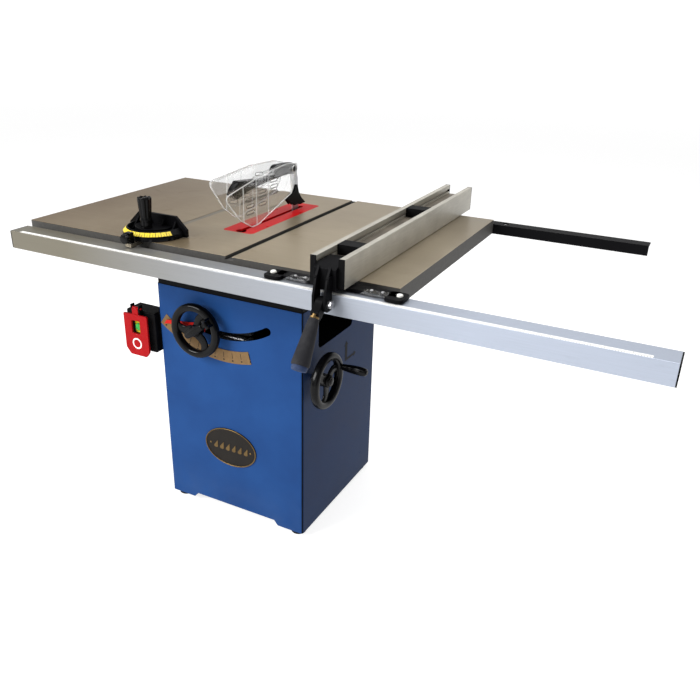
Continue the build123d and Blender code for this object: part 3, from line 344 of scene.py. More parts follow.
def arcScale(name, centre, plane, field, ink, marks, rough=0.45, metal=0.0):
    # ink where the angle about centre is within a mark's half width of a whole number of steps
    finish = Finish(name)
    parts = finish.axes(centre)
    first, second = parts[plane[0]], parts[plane[1]]
    radius = (first * first + second * second).root()
    angle = second.angleTo(first)
    lines = 0.0
    for mark in marks:
        phase = (angle / mark["step"] + 0.5 + mark.get("offset", 0.0) / mark["step"]).fraction() - 0.5
        gap = abs(phase) * mark["step"] * (math.pi / 180) * radius
        stroke = (gap < mark["width"] / 2) * radius.between(mark["from"], mark["to"])
        lines = stroke.larger(lines)
    wear = finish.noise(120.0, 5.0, 0.7)
    ground = finish.mix(wear.fade(0.3, 0.8), field, tuple(c * 0.72 for c in field))
    finish.colour(finish.mix(lines, ground, ink))
    finish.metallic(metal)
    finish.roughness(rough + wear * 0.15)
    finish.bump(wear, 0.00005, 0.4)
    return finish.material


def tapeScale():  # a white rule with black ticks along X, longer at each fifth and tenth
    finish = Finish("tapeScale", coat=0.4, coatRough=0.1)
    x, y, z = finish.axes((ruleTape["zero"], ruleTape["front"], 0.0))
    lines = 0.0
    for step, reach in ruleTape["ticks"]:
        phase = abs((x / step + 0.5).fraction() - 0.5) * step
        lines = ((phase < ruleTape["line"] / 2) * (y < reach)).larger(lines)
    wear = finish.noise(60.0, 5.0, 0.7)
    paper = finish.mix(wear.fade(0.35, 0.8), (0.86, 0.86, 0.84), (0.66, 0.65, 0.62))
    finish.colour(finish.mix(lines, paper, (0.03, 0.03, 0.03)))
    finish.roughness(0.35 + wear * 0.2)
    return finish.material


groundTop = {
    "brown": rgb(113, 90, 55),
    "grey": rgb(196, 183, 158),
    "stain": rgb(98, 84, 66),
    "reflectionDark": rgb(120, 110, 94),
    "side": rgb(78, 76, 72),
    "sideDark": rgb(48, 47, 46),
}
railTone = {"left": rgb(113, 108, 94), "right": rgb(173, 181, 196), "dark": rgb(84, 82, 78)}
ruleTape = {
    "zero": bladeX,
    "front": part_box("front_rail")[0].y + 0.003,
    "line": 0.0006,
    "ticks": ((0.005, 0.004), (0.025, 0.006), (0.05, 0.009)),
}
miterPivot = spot(-171, -276, 0)
sideShade = {"skin": 0.0012, "amount": 0.6, "colour": rgb(3, 3, 5)}
dustLook = {"height": 0.16, "amount": 0.16, "colour": rgb(84, 96, 116)}

finishes = {
    "cabinetBlue": paintedSteel("cabinetBlue", rgb(33, 71, 126), rgb(28, 61, 112), dust=dustLook,
                                shade=sideShade),
    "frameBlack": paintedSteel("frameBlack", rgb(10, 10, 12), rgb(6, 6, 8), rough=0.4, peel=0.00008),
    "handwheelBlack": mouldedPlastic("handwheelBlack", rgb(6, 6, 7), rgb(11, 11, 12), rough=0.3,
                                     texture=300.0,
                                     depth=0.00003, coat=0.18),
    "plasticBlack": mouldedPlastic("plasticBlack", rgb(10, 10, 11), rgb(18, 18, 20), rough=0.5),
    "footRubber": mouldedPlastic("footRubber", rgb(22, 22, 22), rgb(46, 45, 43), rough=0.75, texture=500.0),
    "gripRubber": mouldedPlastic("gripRubber", rgb(38, 38, 41), rgb(54, 54, 56), rough=0.62, texture=1100.0,
                                 depth=0.00016),
    "gripCap": mouldedPlastic("gripCap", rgb(44, 56, 84), rgb(62, 74, 100), rough=0.5),
    "beltRubber": mouldedPlastic("beltRubber", rgb(20, 20, 20), rgb(38, 37, 36), rough=0.8, texture=700.0),
    "groundIron": groundIron(),
    "railMetal": railMetal(),
    "fenceMetal": brushedMetal("fenceMetal", rgb(189, 186, 174), rgb(154, 149, 140), 0.36, (1.0, 0.03, 1.0),
                               0.5),
    "beamMetal": brushedMetal("beamMetal", rgb(132, 123, 110), rgb(88, 82, 75), 0.4, (1.0, 0.04, 1.0), 0.6),
    "steel": brushedMetal("steel", rgb(196, 196, 198), rgb(140, 140, 143), 0.26, (1.0, 1.0, 0.06), 0.95),
    "barSteel": brushedMetal("barSteel", rgb(150, 142, 126), rgb(104, 98, 88), 0.34, (1.0, 0.04, 1.0), 0.85,
                             blackAbove=tableTop),
    "boltZinc": brushedMetal("boltZinc", rgb(186, 186, 188), rgb(120, 120, 124), 0.3, (1.0, 1.0, 1.0), 0.9,
                             300.0),
    "bladeSteel": brushedMetal("bladeSteel", rgb(206, 206, 210), rgb(150, 150, 155), 0.22, (1.0, 1.0, 1.0),
                               1.0, 240.0),
    "insertRed": paintedSteel("insertRed", rgb(172, 10, 12), rgb(146, 6, 9), rough=0.3, peel=0.00004),
    "paddleRed": mouldedPlastic("paddleRed", rgb(152, 8, 14), rgb(164, 16, 20), rough=0.34, coat=0.08),
    "pointerRed": paintedSteel("pointerRed", rgb(204, 40, 34), rgb(170, 24, 22), rough=0.35),
    "buttonGreen": mouldedPlastic("buttonGreen", rgb(46, 150, 60), rgb(84, 184, 90), rough=0.3, coat=0.3),
    "labelYellow": mouldedPlastic("labelYellow", rgb(226, 208, 40), rgb(240, 226, 90), rough=0.4),
    "mechanismGrey": castIronPaint("mechanismGrey", rgb(54, 56, 60), rgb(78, 80, 84)),
    "motorGrey": castIronPaint("motorGrey", rgb(44, 46, 50), rgb(66, 68, 72), 0.45),
    "nylon": mouldedPlastic("nylon", rgb(226, 226, 220), rgb(240, 240, 236), rough=0.4),
    "ringWhite": mouldedPlastic("ringWhite", rgb(232, 226, 222), rgb(246, 244, 240), rough=0.4),
    "brass": brushedMetal("brass", rgb(128, 104, 66), rgb(84, 66, 40), 0.34, (1.0, 1.0, 1.0), 0.9, 260.0),
    "bronze": castIronPaint("bronze", rgb(19, 15, 11), rgb(27, 22, 16), 0.6),
    "guardClear": clearPlastic("guardClear", (0.93, 0.94, 0.93)),
    "guardEdge": edgePlastic(),
    "louvreShade": mouldedPlastic("louvreShade", rgb(52, 48, 42), rgb(120, 114, 102), rough=0.4),
    "cursorClear": clearPlastic("cursorClear", (0.95, 0.95, 0.94), 0.04, 0.0012, 160.0),
    "arrowBlack": mouldedPlastic("arrowBlack", rgb(16, 17, 22), rgb(30, 32, 40), rough=0.5),
    "tapeScale": tapeScale(),
    "bevelScale": arcScale("bevelScale", spot(0, 0, 0), (2, 0), rgb(126, 98, 62), rgb(20, 16, 12),
                           ({"step": 5.0, "width": 0.0018, "from": 0.320, "to": 0.337},
                            {"step": 5.0, "width": 0.0048, "from": 0.341, "to": 0.3455}), 0.4, 0.6),
    "miterScale": arcScale("miterScale", miterPivot, (0, 1), rgb(232, 204, 36), rgb(24, 20, 10),
                           ({"step": 5.0, "width": 0.0009, "from": 0.0785, "to": 0.085},
                            {"step": 10.0, "width": 0.0014, "from": 0.0755, "to": 0.085}), 0.4),
}
print("finishes made:", len(finishes))


def paint(finish, *names):
    for name in names:
        for held in nodes[name].material_slots:
            held.material = finishes[finish]


paint("cabinetBlue", "cabinet")
paint("frameBlack", "top_frame", "rear_rail", "fence_t_bar", "fence_lever", "miter_head", "guard_bridge",
      "kickback_pawls")
paint("groundIron", "main_table", "left_wing", "right_wing")
paint("railMetal", "front_rail")
paint("fenceMetal", "fence_face_left", "fence_face_right")
paint("beamMetal", "fence_beam")
paint("plasticBlack", "rail_end_caps", "switch_box", "dust_port", "fence_trim", "miter_stop")
paint("footRubber", "levelling_feet")
paint("boltZinc", "table_bolts", "lever_bolt", "arbor_nut")
paint("insertRed", "throat_plate")
paint("mechanismGrey", "front_trunnion", "rear_trunnion", "tilt_bearings", "tilt_cradle", "arbor_carriage")
paint("mechanismGrey", "arbor_pulley", "motor_shaft")
paint("steel", "guide_rods", "splitter", "elevation_shaft", "elevation_screw", "arbor_bearings",
      "arbor_shaft")
paint("steel", "tilt_shaft", "tilt_worm")
paint("barSteel", "miter_bar")
paint("bladeSteel", "saw_blade")
paint("motorGrey", "motor_body", "motor_fan_cover")
paint("beltRubber", "drive_belt")
paint("handwheelBlack", "elevation_handwheel", "elevation_handle", "tilt_handwheel", "tilt_handle",
      "miter_handle")
paint("gripRubber", "lever_grip")
paint("nylon", "glide_pads")
paint("guardClear", "guard_shield_left", "guard_shield_right")
paint("cursorClear", "fence_cursors")
paint("paddleRed", "stop_paddle")
paint("buttonGreen", "start_button")
paint("pointerRed", "tilt_pointer")
paint("bevelScale", "bevel_scale")
paint("bronze", "nameplate")
print("CAD nodes painted")


# surfaces, worked out in mm from the blade plane, the table's middle and the table top

home = np.array([bladeX, tableY, tableTop])


def makePiece(name, points, faces, finish, body, slotName, stands=(), bevel=0.0, sharp=38.0):
    mesh = bpy.data.meshes.new(name)
    mesh.from_pydata((home + points.reshape(-1, 3) / 1000).tolist(), [], faces)
    work = bmesh.new()
    work.from_mesh(mesh)
    bmesh.ops.remove_doubles(work, verts=work.verts, dist=2e-6)
    bmesh.ops.dissolve_degenerate(work, edges=work.edges, dist=1e-6)
    bmesh.ops.recalc_face_normals(work, faces=work.faces)
    work.to_mesh(mesh)
    work.free()
    mesh.polygons.foreach_set("use_smooth", [True] * len(mesh.polygons))
    mesh.set_sharp_from_angle(angle=math.radians(sharp))
    mesh.materials.append(finishes[finish])
    piece = bpy.data.objects.new(name, mesh)
    bpy.context.scene.collection.objects.link(piece)
    if bevel:
        edge = piece.modifiers.new("edge", "BEVEL")
        edge.width = bevel / 1000
        edge.segments = 3
        edge.limit_method = "ANGLE"
        edge.angle_limit = math.radians(sharp)
        edge.harden_normals = True
    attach(piece, body)
    if stands:
        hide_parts(*stands)
    return piece


def gridFaces(rows, columns, wrapRows=False, wrapColumns=False, start=0):
    # quads between neighbours of a rows by columns grid, joined round where it wraps
    r = np.arange(rows if wrapRows else rows - 1)
    c = np.arange(columns if wrapColumns else columns - 1)
    r, c = np.meshgrid(r, c, indexing="ij")
    down, right = (r + 1) % rows, (c + 1) % columns
    quads = np.stack([r * columns + c, r * columns + right, down * columns + right, down * columns + c], -1)
    return (quads.reshape(-1, 4) + start).tolist()


def axesAbout(direction, start=None):
    # unit vector along the axis, one at right angles to it (along start when given), and their cross product
    along = np.array(direction, float)
    along /= np.linalg.norm(along)
    first = np.array(start, float) if start is not None else np.cross([0.31, 0.17, 0.93], along)
    first -= along * (first @ along)
    first /= np.linalg.norm(first)
    return along, first, np.cross(along, first)


def smoothLine(points, count):
    # Catmull-Rom: each span blends its four nearest points by cubic weights
    p = np.array(points, float)
    p = np.vstack([2 * p[0] - p[1], p, 2 * p[-1] - p[-2]])
    t = np.linspace(0, len(points) - 1 - 1e-9, count)
    i = t.astype(int)
    f = (t - i)[:, None]
    a, b, c, d = p[i], p[i + 1], p[i + 2], p[i + 3]
    return 0.5 * (2 * b + (c - a) * f + (2 * a - 5 * b + 4 * c - d) * f ** 2 + (3 * b - a - 3 * c + d) * f ** 3)


def turnedGrid(origin, direction, profile, sides=64, ripple=None, lift=None, start=None):
    # P = origin + h along + r (cos t first + sin t second); ripple scales r and lift is added to h
    along, first, second = axesAbout(direction, start)
    r, h = np.array(profile, float).T
    t = np.linspace(0, 2 * math.pi, sides, endpoint=False)[None, :]
    radius = np.repeat(r[:, None], sides, 1)
    height = np.repeat(h[:, None], sides, 1)
    if ripple is not None:
        radius = radius * ripple(t, r[:, None], h[:, None])
    if lift is not None:
        height = height + lift(t, r[:, None], h[:, None])
    ring = np.cos(t)[:, :, None] * first + np.sin(t)[:, :, None] * second
    return np.array(origin) + height[:, :, None] * along + radius[:, :, None] * ring


def sweptGrid(path, sizes, up, sides=16, power=2.0):
    # P = path + a cos t side + b sin t up, a superellipse of half widths (a, b) carried along the path
    path = np.array(path, float)
    tangent = np.gradient(path, axis=0)
    tangent /= np.linalg.norm(tangent, axis=1)[:, None]
    side = np.cross(tangent, np.array(up, float))
    side /= np.linalg.norm(side, axis=1)[:, None]
    rise = np.cross(side, tangent)
    t = np.linspace(0, 2 * math.pi, sides, endpoint=False)
    ca = np.sign(np.cos(t)) * np.abs(np.cos(t)) ** (2 / power)
    sb = np.sign(np.sin(t)) * np.abs(np.sin(t)) ** (2 / power)
    a, b = np.array(sizes, float).T
    return (path[:, None] + (a[:, None] * ca)[:, :, None] * side[:, None]
            + (b[:, None] * sb)[:, :, None] * rise[:, None])


def loopTube(loop, normal, radius, sides=10):
    # a round bead carried once round a closed loop that lies flat across normal
    loop = np.array(loop, float)
    tangent = np.roll(loop, -1, 0) - np.roll(loop, 1, 0)
    tangent /= np.linalg.norm(tangent, axis=1)[:, None]
    up = np.array(normal, float)
    side = np.cross(tangent, up)
    t = np.linspace(0, 2 * math.pi, sides, endpoint=False)
    return (loop[:, None] + radius * np.cos(t)[None, :, None] * side[:, None]
            + radius * np.sin(t)[None, :, None] * up)


def evenLoop(outline, count, rounding=0.0):
    # a closed outline walked at even steps, its corners eased by a moving average
    p = np.vstack([outline, outline[:1]]).astype(float)
    steps = np.concatenate([[0], np.cumsum(np.linalg.norm(np.diff(p, axis=0), axis=1))])
    walk = np.linspace(0, steps[-1], count, endpoint=False)
    loop = np.stack([np.interp(walk, steps, p[:, k]) for k in range(p.shape[1])], 1)
    reach = int(rounding / (steps[-1] / count))
    shifts = [np.roll(loop, k, 0) for k in range(-reach, reach + 1)]
    return np.mean(shifts, 0)


def raysTo(outline, centre, angles):
    # the point of a closed outline that each ray from centre meets, by solving ray against every edge
    p = np.array(outline, float) - centre
    edge = np.roll(p, -1, 0) - p
    ray = np.stack([np.cos(angles), np.sin(angles)], 1)
    bottom = ray[:, None, 0] * edge[None, :, 1] - ray[:, None, 1] * edge[None, :, 0]
    bottom = np.where(np.abs(bottom) < 1e-9, 1e-9, bottom)
    t = (p[None, :, 0] * edge[None, :, 1] - p[None, :, 1] * edge[None, :, 0]) / bottom
    u = (p[None, :, 0] * ray[:, None, 1] - p[None, :, 1] * ray[:, None, 0]) / bottom
    t = np.where((u >= -1e-6) & (u <= 1 + 1e-6) & (t > 0), t, np.inf)
    return centre + t.min(1)[:, None] * ray


def roundRect(width, height, radius, centre=(0, 0), steps=7):
    # four quarter circles, walked anticlockwise
    t = np.linspace(0, math.pi / 2, steps)
    arcs = []
    for k, (sx, sy) in enumerate(((1, 1), (-1, 1), (-1, -1), (1, -1))):
        arcs.append(np.stack([centre[0] + sx * (width / 2 - radius) + radius * np.cos(t + k * math.pi / 2),
                              centre[1] + sy * (height / 2 - radius) + radius * np.sin(t + k * math.pi / 2)], 1))
    return np.vstack(arcs)


class Gather:  # several closed surfaces that make one piece
    def __init__(self):
        self.points = []
        self.faces = []
        self.count = 0

    def take(self, grid, faces):
        self.points.append(grid.reshape(-1, 3))
        self.faces += faces
        self.count += grid.reshape(-1, 3).shape[0]

    def tube(self, grid):  # wrapped across, with one flat face on each end
        rows, columns = grid.shape[:2]
        faces = gridFaces(rows, columns, wrapColumns=True, start=self.count)
        faces.append([self.count + k for k in range(columns)][::-1])
        faces.append([self.count + (rows - 1) * columns + k for k in range(columns)])
        self.take(grid, faces)

    def ring(self, grid):  # wrapped both ways
        self.take(grid, gridFaces(*grid.shape[:2], wrapRows=True, wrapColumns=True, start=self.count))

    def turned(self, grid):  # wrapped across, its ends already on the axis
        self.take(grid, gridFaces(*grid.shape[:2], wrapColumns=True, start=self.count))

    def plate(self, outline, offset):  # an outline and its copy, joined by a wall and closed by flat faces
        a = np.array(outline, float)
        self.tube(np.stack([a, a + np.array(offset, float)]))

    def frame(self, outer, inner, offset):  # a plate with one hole; both loops have the same number of points
        a, b, across = np.array(outer, float), np.array(inner, float), np.array(offset, float)
        self.ring(np.stack([a, a + across, b + across, b]))

    def block(self, low, high):
        x, y, z = zip(low, high)
        self.plate([(x[0], y[0], z[0]), (x[1], y[0], z[0]), (x[1], y[1], z[0]), (x[0], y[1], z[0])],
                   (0, 0, z[1] - z[0]))

    def piece(self, name, finish, body, slotName, **options):
        return makePiece(name, np.vstack(self.points), self.faces, finish, body, slotName, **options)


def sideView(points, across):  # (along, up) pairs as an upright outline at one distance right of the blade
    p = np.array(points, float)
    return np.stack([np.full(len(p), across), p[:, 0], p[:, 1]], 1)


def frontView(points, along):  # (across, up) pairs as an upright outline that faces the operator
    p = np.array(points, float)
    return np.stack([p[:, 0], np.full(len(p), along), p[:, 1]], 1)


def flatView(points, up):  # (across, along) pairs as a level outline
    p = np.array(points, float)
    return np.stack([p[:, 0], p[:, 1], np.full(len(p), up)], 1)


def mid(node):  # a CAD node's middle in the same mm
    return (np.array(middle(node)) - home) * 1000


# handwheels

handwheel = {"radius": 79.0, "rim": 11.0, "rimDepth": 11.8, "spokes": 3, "spokeAtHub": 14.0,
             "spokeAtRim": 10.5,
             "spokeDepth": 4.6, "bow": 9.0, "hub": 19.0, "bore": 8.15}


def wheelParts(centre, direction, crank, turn):
    along, first, second = axesAbout(direction, crank)
    gather = Gather()
    rimMiddle = handwheel["radius"] - handwheel["rim"]
    # rim: a superellipse band, flatter outside
    t = np.linspace(0, 2 * math.pi, 44, endpoint=False)
    bandR = rimMiddle + handwheel["rim"] * np.sign(np.cos(t)) * np.abs(np.cos(t)) ** 0.8
    bandH = handwheel["rimDepth"] * np.sign(np.sin(t)) * np.abs(np.sin(t)) ** 0.8
    gather.ring(turnedGrid(centre, along, np.stack([bandR, bandH], 1), 112))
    # spokes: ovals swept from the hub to the rim, bowed sideways, flared where they join the rim
    for k in range(handwheel["spokes"]):
        angle = turn + 2 * math.pi * k / handwheel["spokes"]
        ray = math.cos(angle) * first + math.sin(angle) * second
        side = np.cross(along, ray)
        s = np.linspace(0, 1, 18)
        bow = handwheel["bow"] * np.sin(math.pi * s) ** 1.2
        path = (centre + (10 + (rimMiddle - 11) * s)[:, None] * ray + bow[:, None] * side
                + (-0.5 - 1.5 * np.sin(math.pi * s))[:, None] * along)
        wide = handwheel["spokeAtHub"] + (handwheel["spokeAtRim"] - handwheel["spokeAtHub"]) * s + 5 * s ** 8
        gather.tube(sweptGrid(path, np.stack([wide, np.full_like(wide, handwheel["spokeDepth"])], 1), along,
                              20, 2.6))
    hub, bore = handwheel["hub"] - 1, handwheel["bore"]
    section = [(bore, -15.8), (hub - 1, -15.8), (hub, -14.8), (hub, 4), (hub - 0.6, 7), (hub - 2.5, 9.5),
               (hub - 4, 10.4), (hub - 4.4, 12.8), (hub - 5.2, 13.7), (bore, 13.8)]
    gather.ring(turnedGrid(centre, along, section, 56))
    cap = smoothLine([(0, 16.6), (4, 16.3), (8, 15.4), (10, 14.3), (10.4, 14.05)], 16).tolist() + [(0, 14.05)]
    gather.turned(turnedGrid(centre, along, cap, 40))
    return gather, along, first, second, rimMiddle


frontWheel = {"turn": 0.35, "earHalf": 7.5, "earThick": 6.0, "stand": 27.0}
frontCentre = mid("elevation_shaft") * (1, 0, 1) + (0, -262, 0)
crankLean = math.radians(35)
frontCrank = np.array([math.cos(crankLean), 0, math.sin(crankLean)])
gather, along, first, second, rimMiddle = wheelParts(frontCentre, (0, -1, 0), frontCrank, frontWheel["turn"])
pin = frontCentre + rimMiddle * first + frontWheel["stand"] * along
t = np.linspace(0, 2 * math.pi, 40, endpoint=False)
up = np.clip(np.sin(t), 0, 1) * 4
down = np.minimum(frontWheel["earHalf"] / np.maximum(np.abs(np.cos(t)), 1e-6), 22 / np.maximum(-np.sin(t),
                                                                                               1e-6))
earX = np.where(np.sin(t) >= 0, frontWheel["earHalf"] * np.cos(t), down * np.cos(t))
earY = np.where(np.sin(t) >= 0, up, down * np.sin(t))
for sideways in (-1, 1):
    base = pin + second * (10 * sideways - frontWheel["earThick"] / 2)
    outer = base + earX[:, None] * first + earY[:, None] * along
    inner = base + 3.1 * (np.cos(t)[:, None] * first + np.sin(t)[:, None] * along)
    gather.frame(outer, inner, second * frontWheel["earThick"])
gather.piece("frontWheelLooks", "handwheelBlack", "elevation_wheel", "handwheel_iron",
             stands=("elevation_handwheel",))

grip = {"flutes": 8, "fluteDepth": 0.07}


def fluted(lobes, depth, low, high):
    # r times 1 - depth where cos(lobes t) dips, fading out near both ends
    def ripple(t, r, h):
        fade = np.clip((h - low) / 8, 0, 1) * np.clip((high - h) / 8, 0, 1)
        return 1 - depth * fade * (0.5 - 0.5 * np.cos(lobes * t)) ** 2
    return ripple


gather = Gather()
pinSide = axesAbout((0, -1, 0), frontCrank)[2]
gather.turned(turnedGrid(pin, pinSide, [(0, -13), (2.6, -13), (2.95, -12.6), (2.95, 12.6), (2.6, 13),
                                        (0, 13)], 28))
gather.turned(turnedGrid(pin, pinSide, [(0, -6.5), (5.9, -6.5), (6.5, -5.9), (6.5, 5.9), (5.9, 6.5),
                                        (0, 6.5)], 40))
gripStart = pin - 8 * frontCrank
neck = np.stack([pin, gripStart - 5 * frontCrank])
gather.tube(sweptGrid(neck, [(5, 6.3), (5, 6.3)], pinSide, 16, 3))
profile = smoothLine([(0, 4), (6, 4.2), (8.3, 5.6), (9.6, 14), (11.3, 34), (11.3, 50), (9.9, 66), (8.6, 72),
                      (5.5, 73.7), (0, 74)], 60)
profile[:, 0] = np.clip(profile[:, 0], 0, None)
gather.turned(turnedGrid(gripStart, -frontCrank, profile, 64, fluted(grip["flutes"], grip["fluteDepth"], 8,
                                                                     70)))
gather.piece("foldGripLooks", "handwheelBlack", "elevation_crank", "gloss_black",
             stands=("elevation_handle",))

tiltCentre = mid("tilt_shaft") * (0, 1, 1) + (296, 0, 0)
tiltLean = math.radians(14)
tiltCrank = np.array([0, math.cos(tiltLean), math.sin(tiltLean)])
gather, along, first, second, rimMiddle = wheelParts(tiltCentre, (1, 0, 0), tiltCrank, 0.0)
studBase = tiltCentre + rimMiddle * first
gather.turned(turnedGrid(studBase, along, [(0, 2), (9, 2), (9, 11.2), (8.2, 12), (4, 12), (4, 86), (6, 86.2),
                                           (6.5, 86.8),
                                           (5.6, 87.8), (0, 88)], 40))
gather.piece("tiltWheelLooks", "handwheelBlack", "tilt_wheel", "handwheel_iron", stands=("tilt_handwheel",))
outer = smoothLine([(8.6, 13), (9.0, 14), (9.4, 20), (11.6, 40), (12.4, 60), (12.2, 72), (11.2, 80),
                    (9.6, 84.2),
                    (7.2, 85)], 50).tolist()
gather = Gather()
gather.ring(turnedGrid(studBase, along, outer + [(4.15, 85), (4.15, 13)], 64, fluted(8, 0.09, 18, 84)))
gather.piece("tiltGripLooks", "handwheelBlack", "tilt_crank", "gloss_black", stands=("tilt_handle",))
print("handwheels")

# fence: T-bar, lever and grip, cursors, screws

leverGrip = {"start": (419.0, -471.0, -50.0), "lean": 35.0}
lean = math.radians(leverGrip["lean"])
gripAxis = np.array([0, -math.sin(lean), -math.cos(lean)])
gather = Gather()
profile = smoothLine([(0, 4), (9, 4), (11.6, 5.4), (12.8, 12), (15.6, 40), (18.6, 74), (20.6, 98),
                      (20.9, 105),
                      (20.2, 109), (17.8, 110), (0, 110)], 70)
profile[:, 0] = np.clip(profile[:, 0], 0, 21)
rings = turnedGrid(leverGrip["start"], gripAxis, profile, 72, lambda t, r,
                   h: 1 - 0.012 * np.cos(2 * t) + 0 * h)
gather.turned(rings)
gather.piece("leverGripLooks", "gripRubber", "fence_lever", "grip_rubber", stands=("lever_grip",))
gather = Gather()
profile = smoothLine([(0, 108), (16, 108), (17.6, 109.5), (17.8, 113), (17.2, 118), (14.8, 121), (9, 121.9),
                      (0, 122)], 40)
profile[:, 0] = np.clip(profile[:, 0], 0, 18)
gather.turned(turnedGrid(leverGrip["start"], gripAxis, profile, 56))
gather.piece("leverCapLooks", "gripCap", "fence_lever", "grip_rubber")
gather = Gather()
profile = [(0, -6), (7.6, -6), (8.2, -5.4), (8.2, -1), (10.4, 0), (10.4, 3), (9.6, 4.2), (0, 4.2)]
gather.turned(turnedGrid(leverGrip["start"], gripAxis, profile, 48))
gather.piece("leverCollar", "brass", "fence_lever", "bolt_steel")

lever = {"half": 10.0, "bevel": 1.6, "eye": 15.0}
gather = Gather()
eyeAt = np.array([-441.0, -28.0])
t = np.linspace(math.radians(-38), math.radians(150), 26)
eye = np.stack([eyeAt[0] + lever["eye"] * np.cos(t), eyeAt[1] + lever["eye"] * np.sin(t)], 1).tolist()
armOutline = eye + [(-458, -26), (-474, -39), (-472, -56), (-463, -59), (-447, -47), (-433, -40)]
gather.plate(sideView(armOutline, 419 - lever["half"]), (2 * lever["half"], 0, 0))
gather.tube(sweptGrid([(419, -468, -46), (419, -474, -55)], [(8, 9), (7, 7)], (1, 0, 0), 20, 2.6))
gather.piece("leverArmLooks", "frameBlack", "fence_lever", "frame_black", stands=("fence_lever",),
             bevel=lever["bevel"])

teeBar = {"low": -10.0, "high": -2.0, "bevel": 0.9, "cheek": 6.0}
gather = Gather()
gather.block((269, -392, teeBar["low"]), (569, -358, teeBar["high"]))
for across in (269, 569):
    tab = roundRect(44, 52, 12, (across, -384))
    gather.plate(flatView(tab, teeBar["low"]), (0, 0, teeBar["high"] - teeBar["low"]))
gather.plate(sideView([(-352, -2), (-352, 54), (-414, 54), (-430, 46), (-430, -2)], 391.5), (55, 0, 0))
for across in (402, 430):
    gather.plate(sideView([(-426, 40), (-430, 52), (-444, 30), (-456, -10), (-456, -40), (-446, -46),
                           (-426, -46)],
                          across), (teeBar["cheek"], 0, 0))
for across in (400, 431.5):
    gather.plate(sideView(roundRect(18, 30, 4, (-436, 18)), across), (6.5, 0, 0))
gather.piece("teeBarLooks", "frameBlack", "fence", "frame_black", stands=("fence_t_bar",),
             bevel=teeBar["bevel"])

screwProfile = [(0, 1.9), (1.2, 1.8), (2.6, 1.3), (3.5, 0.4), (3.6, -0.2), (1.9, -0.2), (1.9, -2.8),
                (0, -2.8)]
gather = Gather()
for across in (334 - 13, 334 + 13, 524 - 13, 524 + 13):
    gather.turned(turnedGrid((across, -386, 1.1), (0, 0, 1), screwProfile, 28))
gather.piece("cursorScrews", "steel", "fence", "bolt_steel")
gather = Gather()
padProfile = smoothLine([(0, 2.6), (3, 2.4), (5.6, 1.5), (6.8, 0.2), (6.9, -0.9)], 18).tolist() + [(0, -0.9)]
for across in (419 - 157, 419 + 157):
    gather.turned(turnedGrid((across, -384, 1.0), (0, 0, 1), padProfile, 32))
gather.piece("padCaps", "nylon", "fence", "nylon_white")

cursor = {"width": 54.0, "depth": 36.0, "thick": 1.3, "wave": 0.75}
gather = Gather()
for number, across in enumerate((334, 524)):
    # a thin sheet: z = wave (sin along x with a slow beat + sin along y), top and bottom alike
    u = np.linspace(-1, 1, 40)
    v = np.concatenate([np.linspace(-1, 1, 24), np.linspace(1, -1, 24)])
    x = across + cursor["width"] / 2 * u[:, None] + 0 * v[None, :]
    y = -397 + cursor["depth"] / 2 * v[None, :] + 0 * u[:, None]
    wave = cursor["wave"] * (0.55 * np.sin(7.1 * u[:, None] + 1.7 * v[None, :] + number)
                             + 0.45 * np.sin(5.3 * v[None, :] - 4.2 * u[:, None] ** 2 + 2 * number))
    side = np.concatenate([np.full(24, 1), np.full(24, -1)])[None, :]
    z = -0.5 + wave + side * cursor["thick"] / 2
    gather.tube(np.stack([x, y, z], -1))
gather.piece("cursorLooks", "cursorClear", "fence", "guard_clear", stands=("fence_cursors",), sharp=60)
print("fence")

# mitre gauge

gauge = {"centre": (-171.0, -276.0), "knob": (-171.0, -310.0), "flutes": 8, "bevel": 1.2}
gaugeX, gaugeY = gauge["centre"]


def arcSweep(section, fromAngle, toAngle, count):
    # a closed (radius, height) section carried round the gauge's pivot between two angles
    section = np.array(section, float)
    t = np.radians(np.linspace(fromAngle, toAngle, count))[:, None]
    return np.stack([gaugeX + section[None, :, 0] * np.cos(t), gaugeY + section[None, :, 0] * np.sin(t),
                     section[None, :, 1] + 0 * t], -1)


gather = Gather()
gather.tube(arcSweep([(71, 1), (83.4, 1), (84, 1.8), (84, 12.6), (83.4, 13.4), (74, 23.6), (72.6, 24.6),
                      (70, 24.8),
                      (70, 3)], -186, 6, 90))
t = np.radians(np.linspace(-186.1, 6.1, 60))
floorLine = np.stack([gaugeX + 73 * np.cos(t), gaugeY + 73 * np.sin(t)], 1)
gather.plate(flatView(floorLine, 1), (0, 0, 8))
t = np.radians(np.linspace(-190, 10, 60))
bossLine = np.stack([gaugeX + 52 * np.cos(t), gaugeY + 52 * np.sin(t)], 1)
gather.plate(flatView(bossLine, 1), (0, 0, 23.6))
face = [(gaugeX - 95, 1), (gaugeX + 95, 1), (gaugeX + 95, 20), (gaugeX + 61, 52), (gaugeX - 61, 52),
        (gaugeX - 95, 20)]
gather.plate(frontView(face, gaugeY + 9), (0, 9, 0))
for across in (-62, -22, 22, 62):
    gusset = [(gaugeY + y, z) for y, z in ((8, 1), (8, 40), (0, 30), (-8, 22), (-20, 12), (-20, 1))]
    gather.plate(sideView(gusset, gaugeX + across - 2.5), (5, 0, 0))
gather.piece("gaugeHeadLooks", "frameBlack", "miter_head", "frame_black", stands=("miter_head",),
             bevel=gauge["bevel"])
gather = Gather()
gather.tube(arcSweep([(83.6, 13.9), (75.6, 22.6), (75.25, 22.35), (83.3, 13.55)], -182, -20, 90))
gather.piece("gaugeScale", "miterScale", "miter_head", "frame_black")

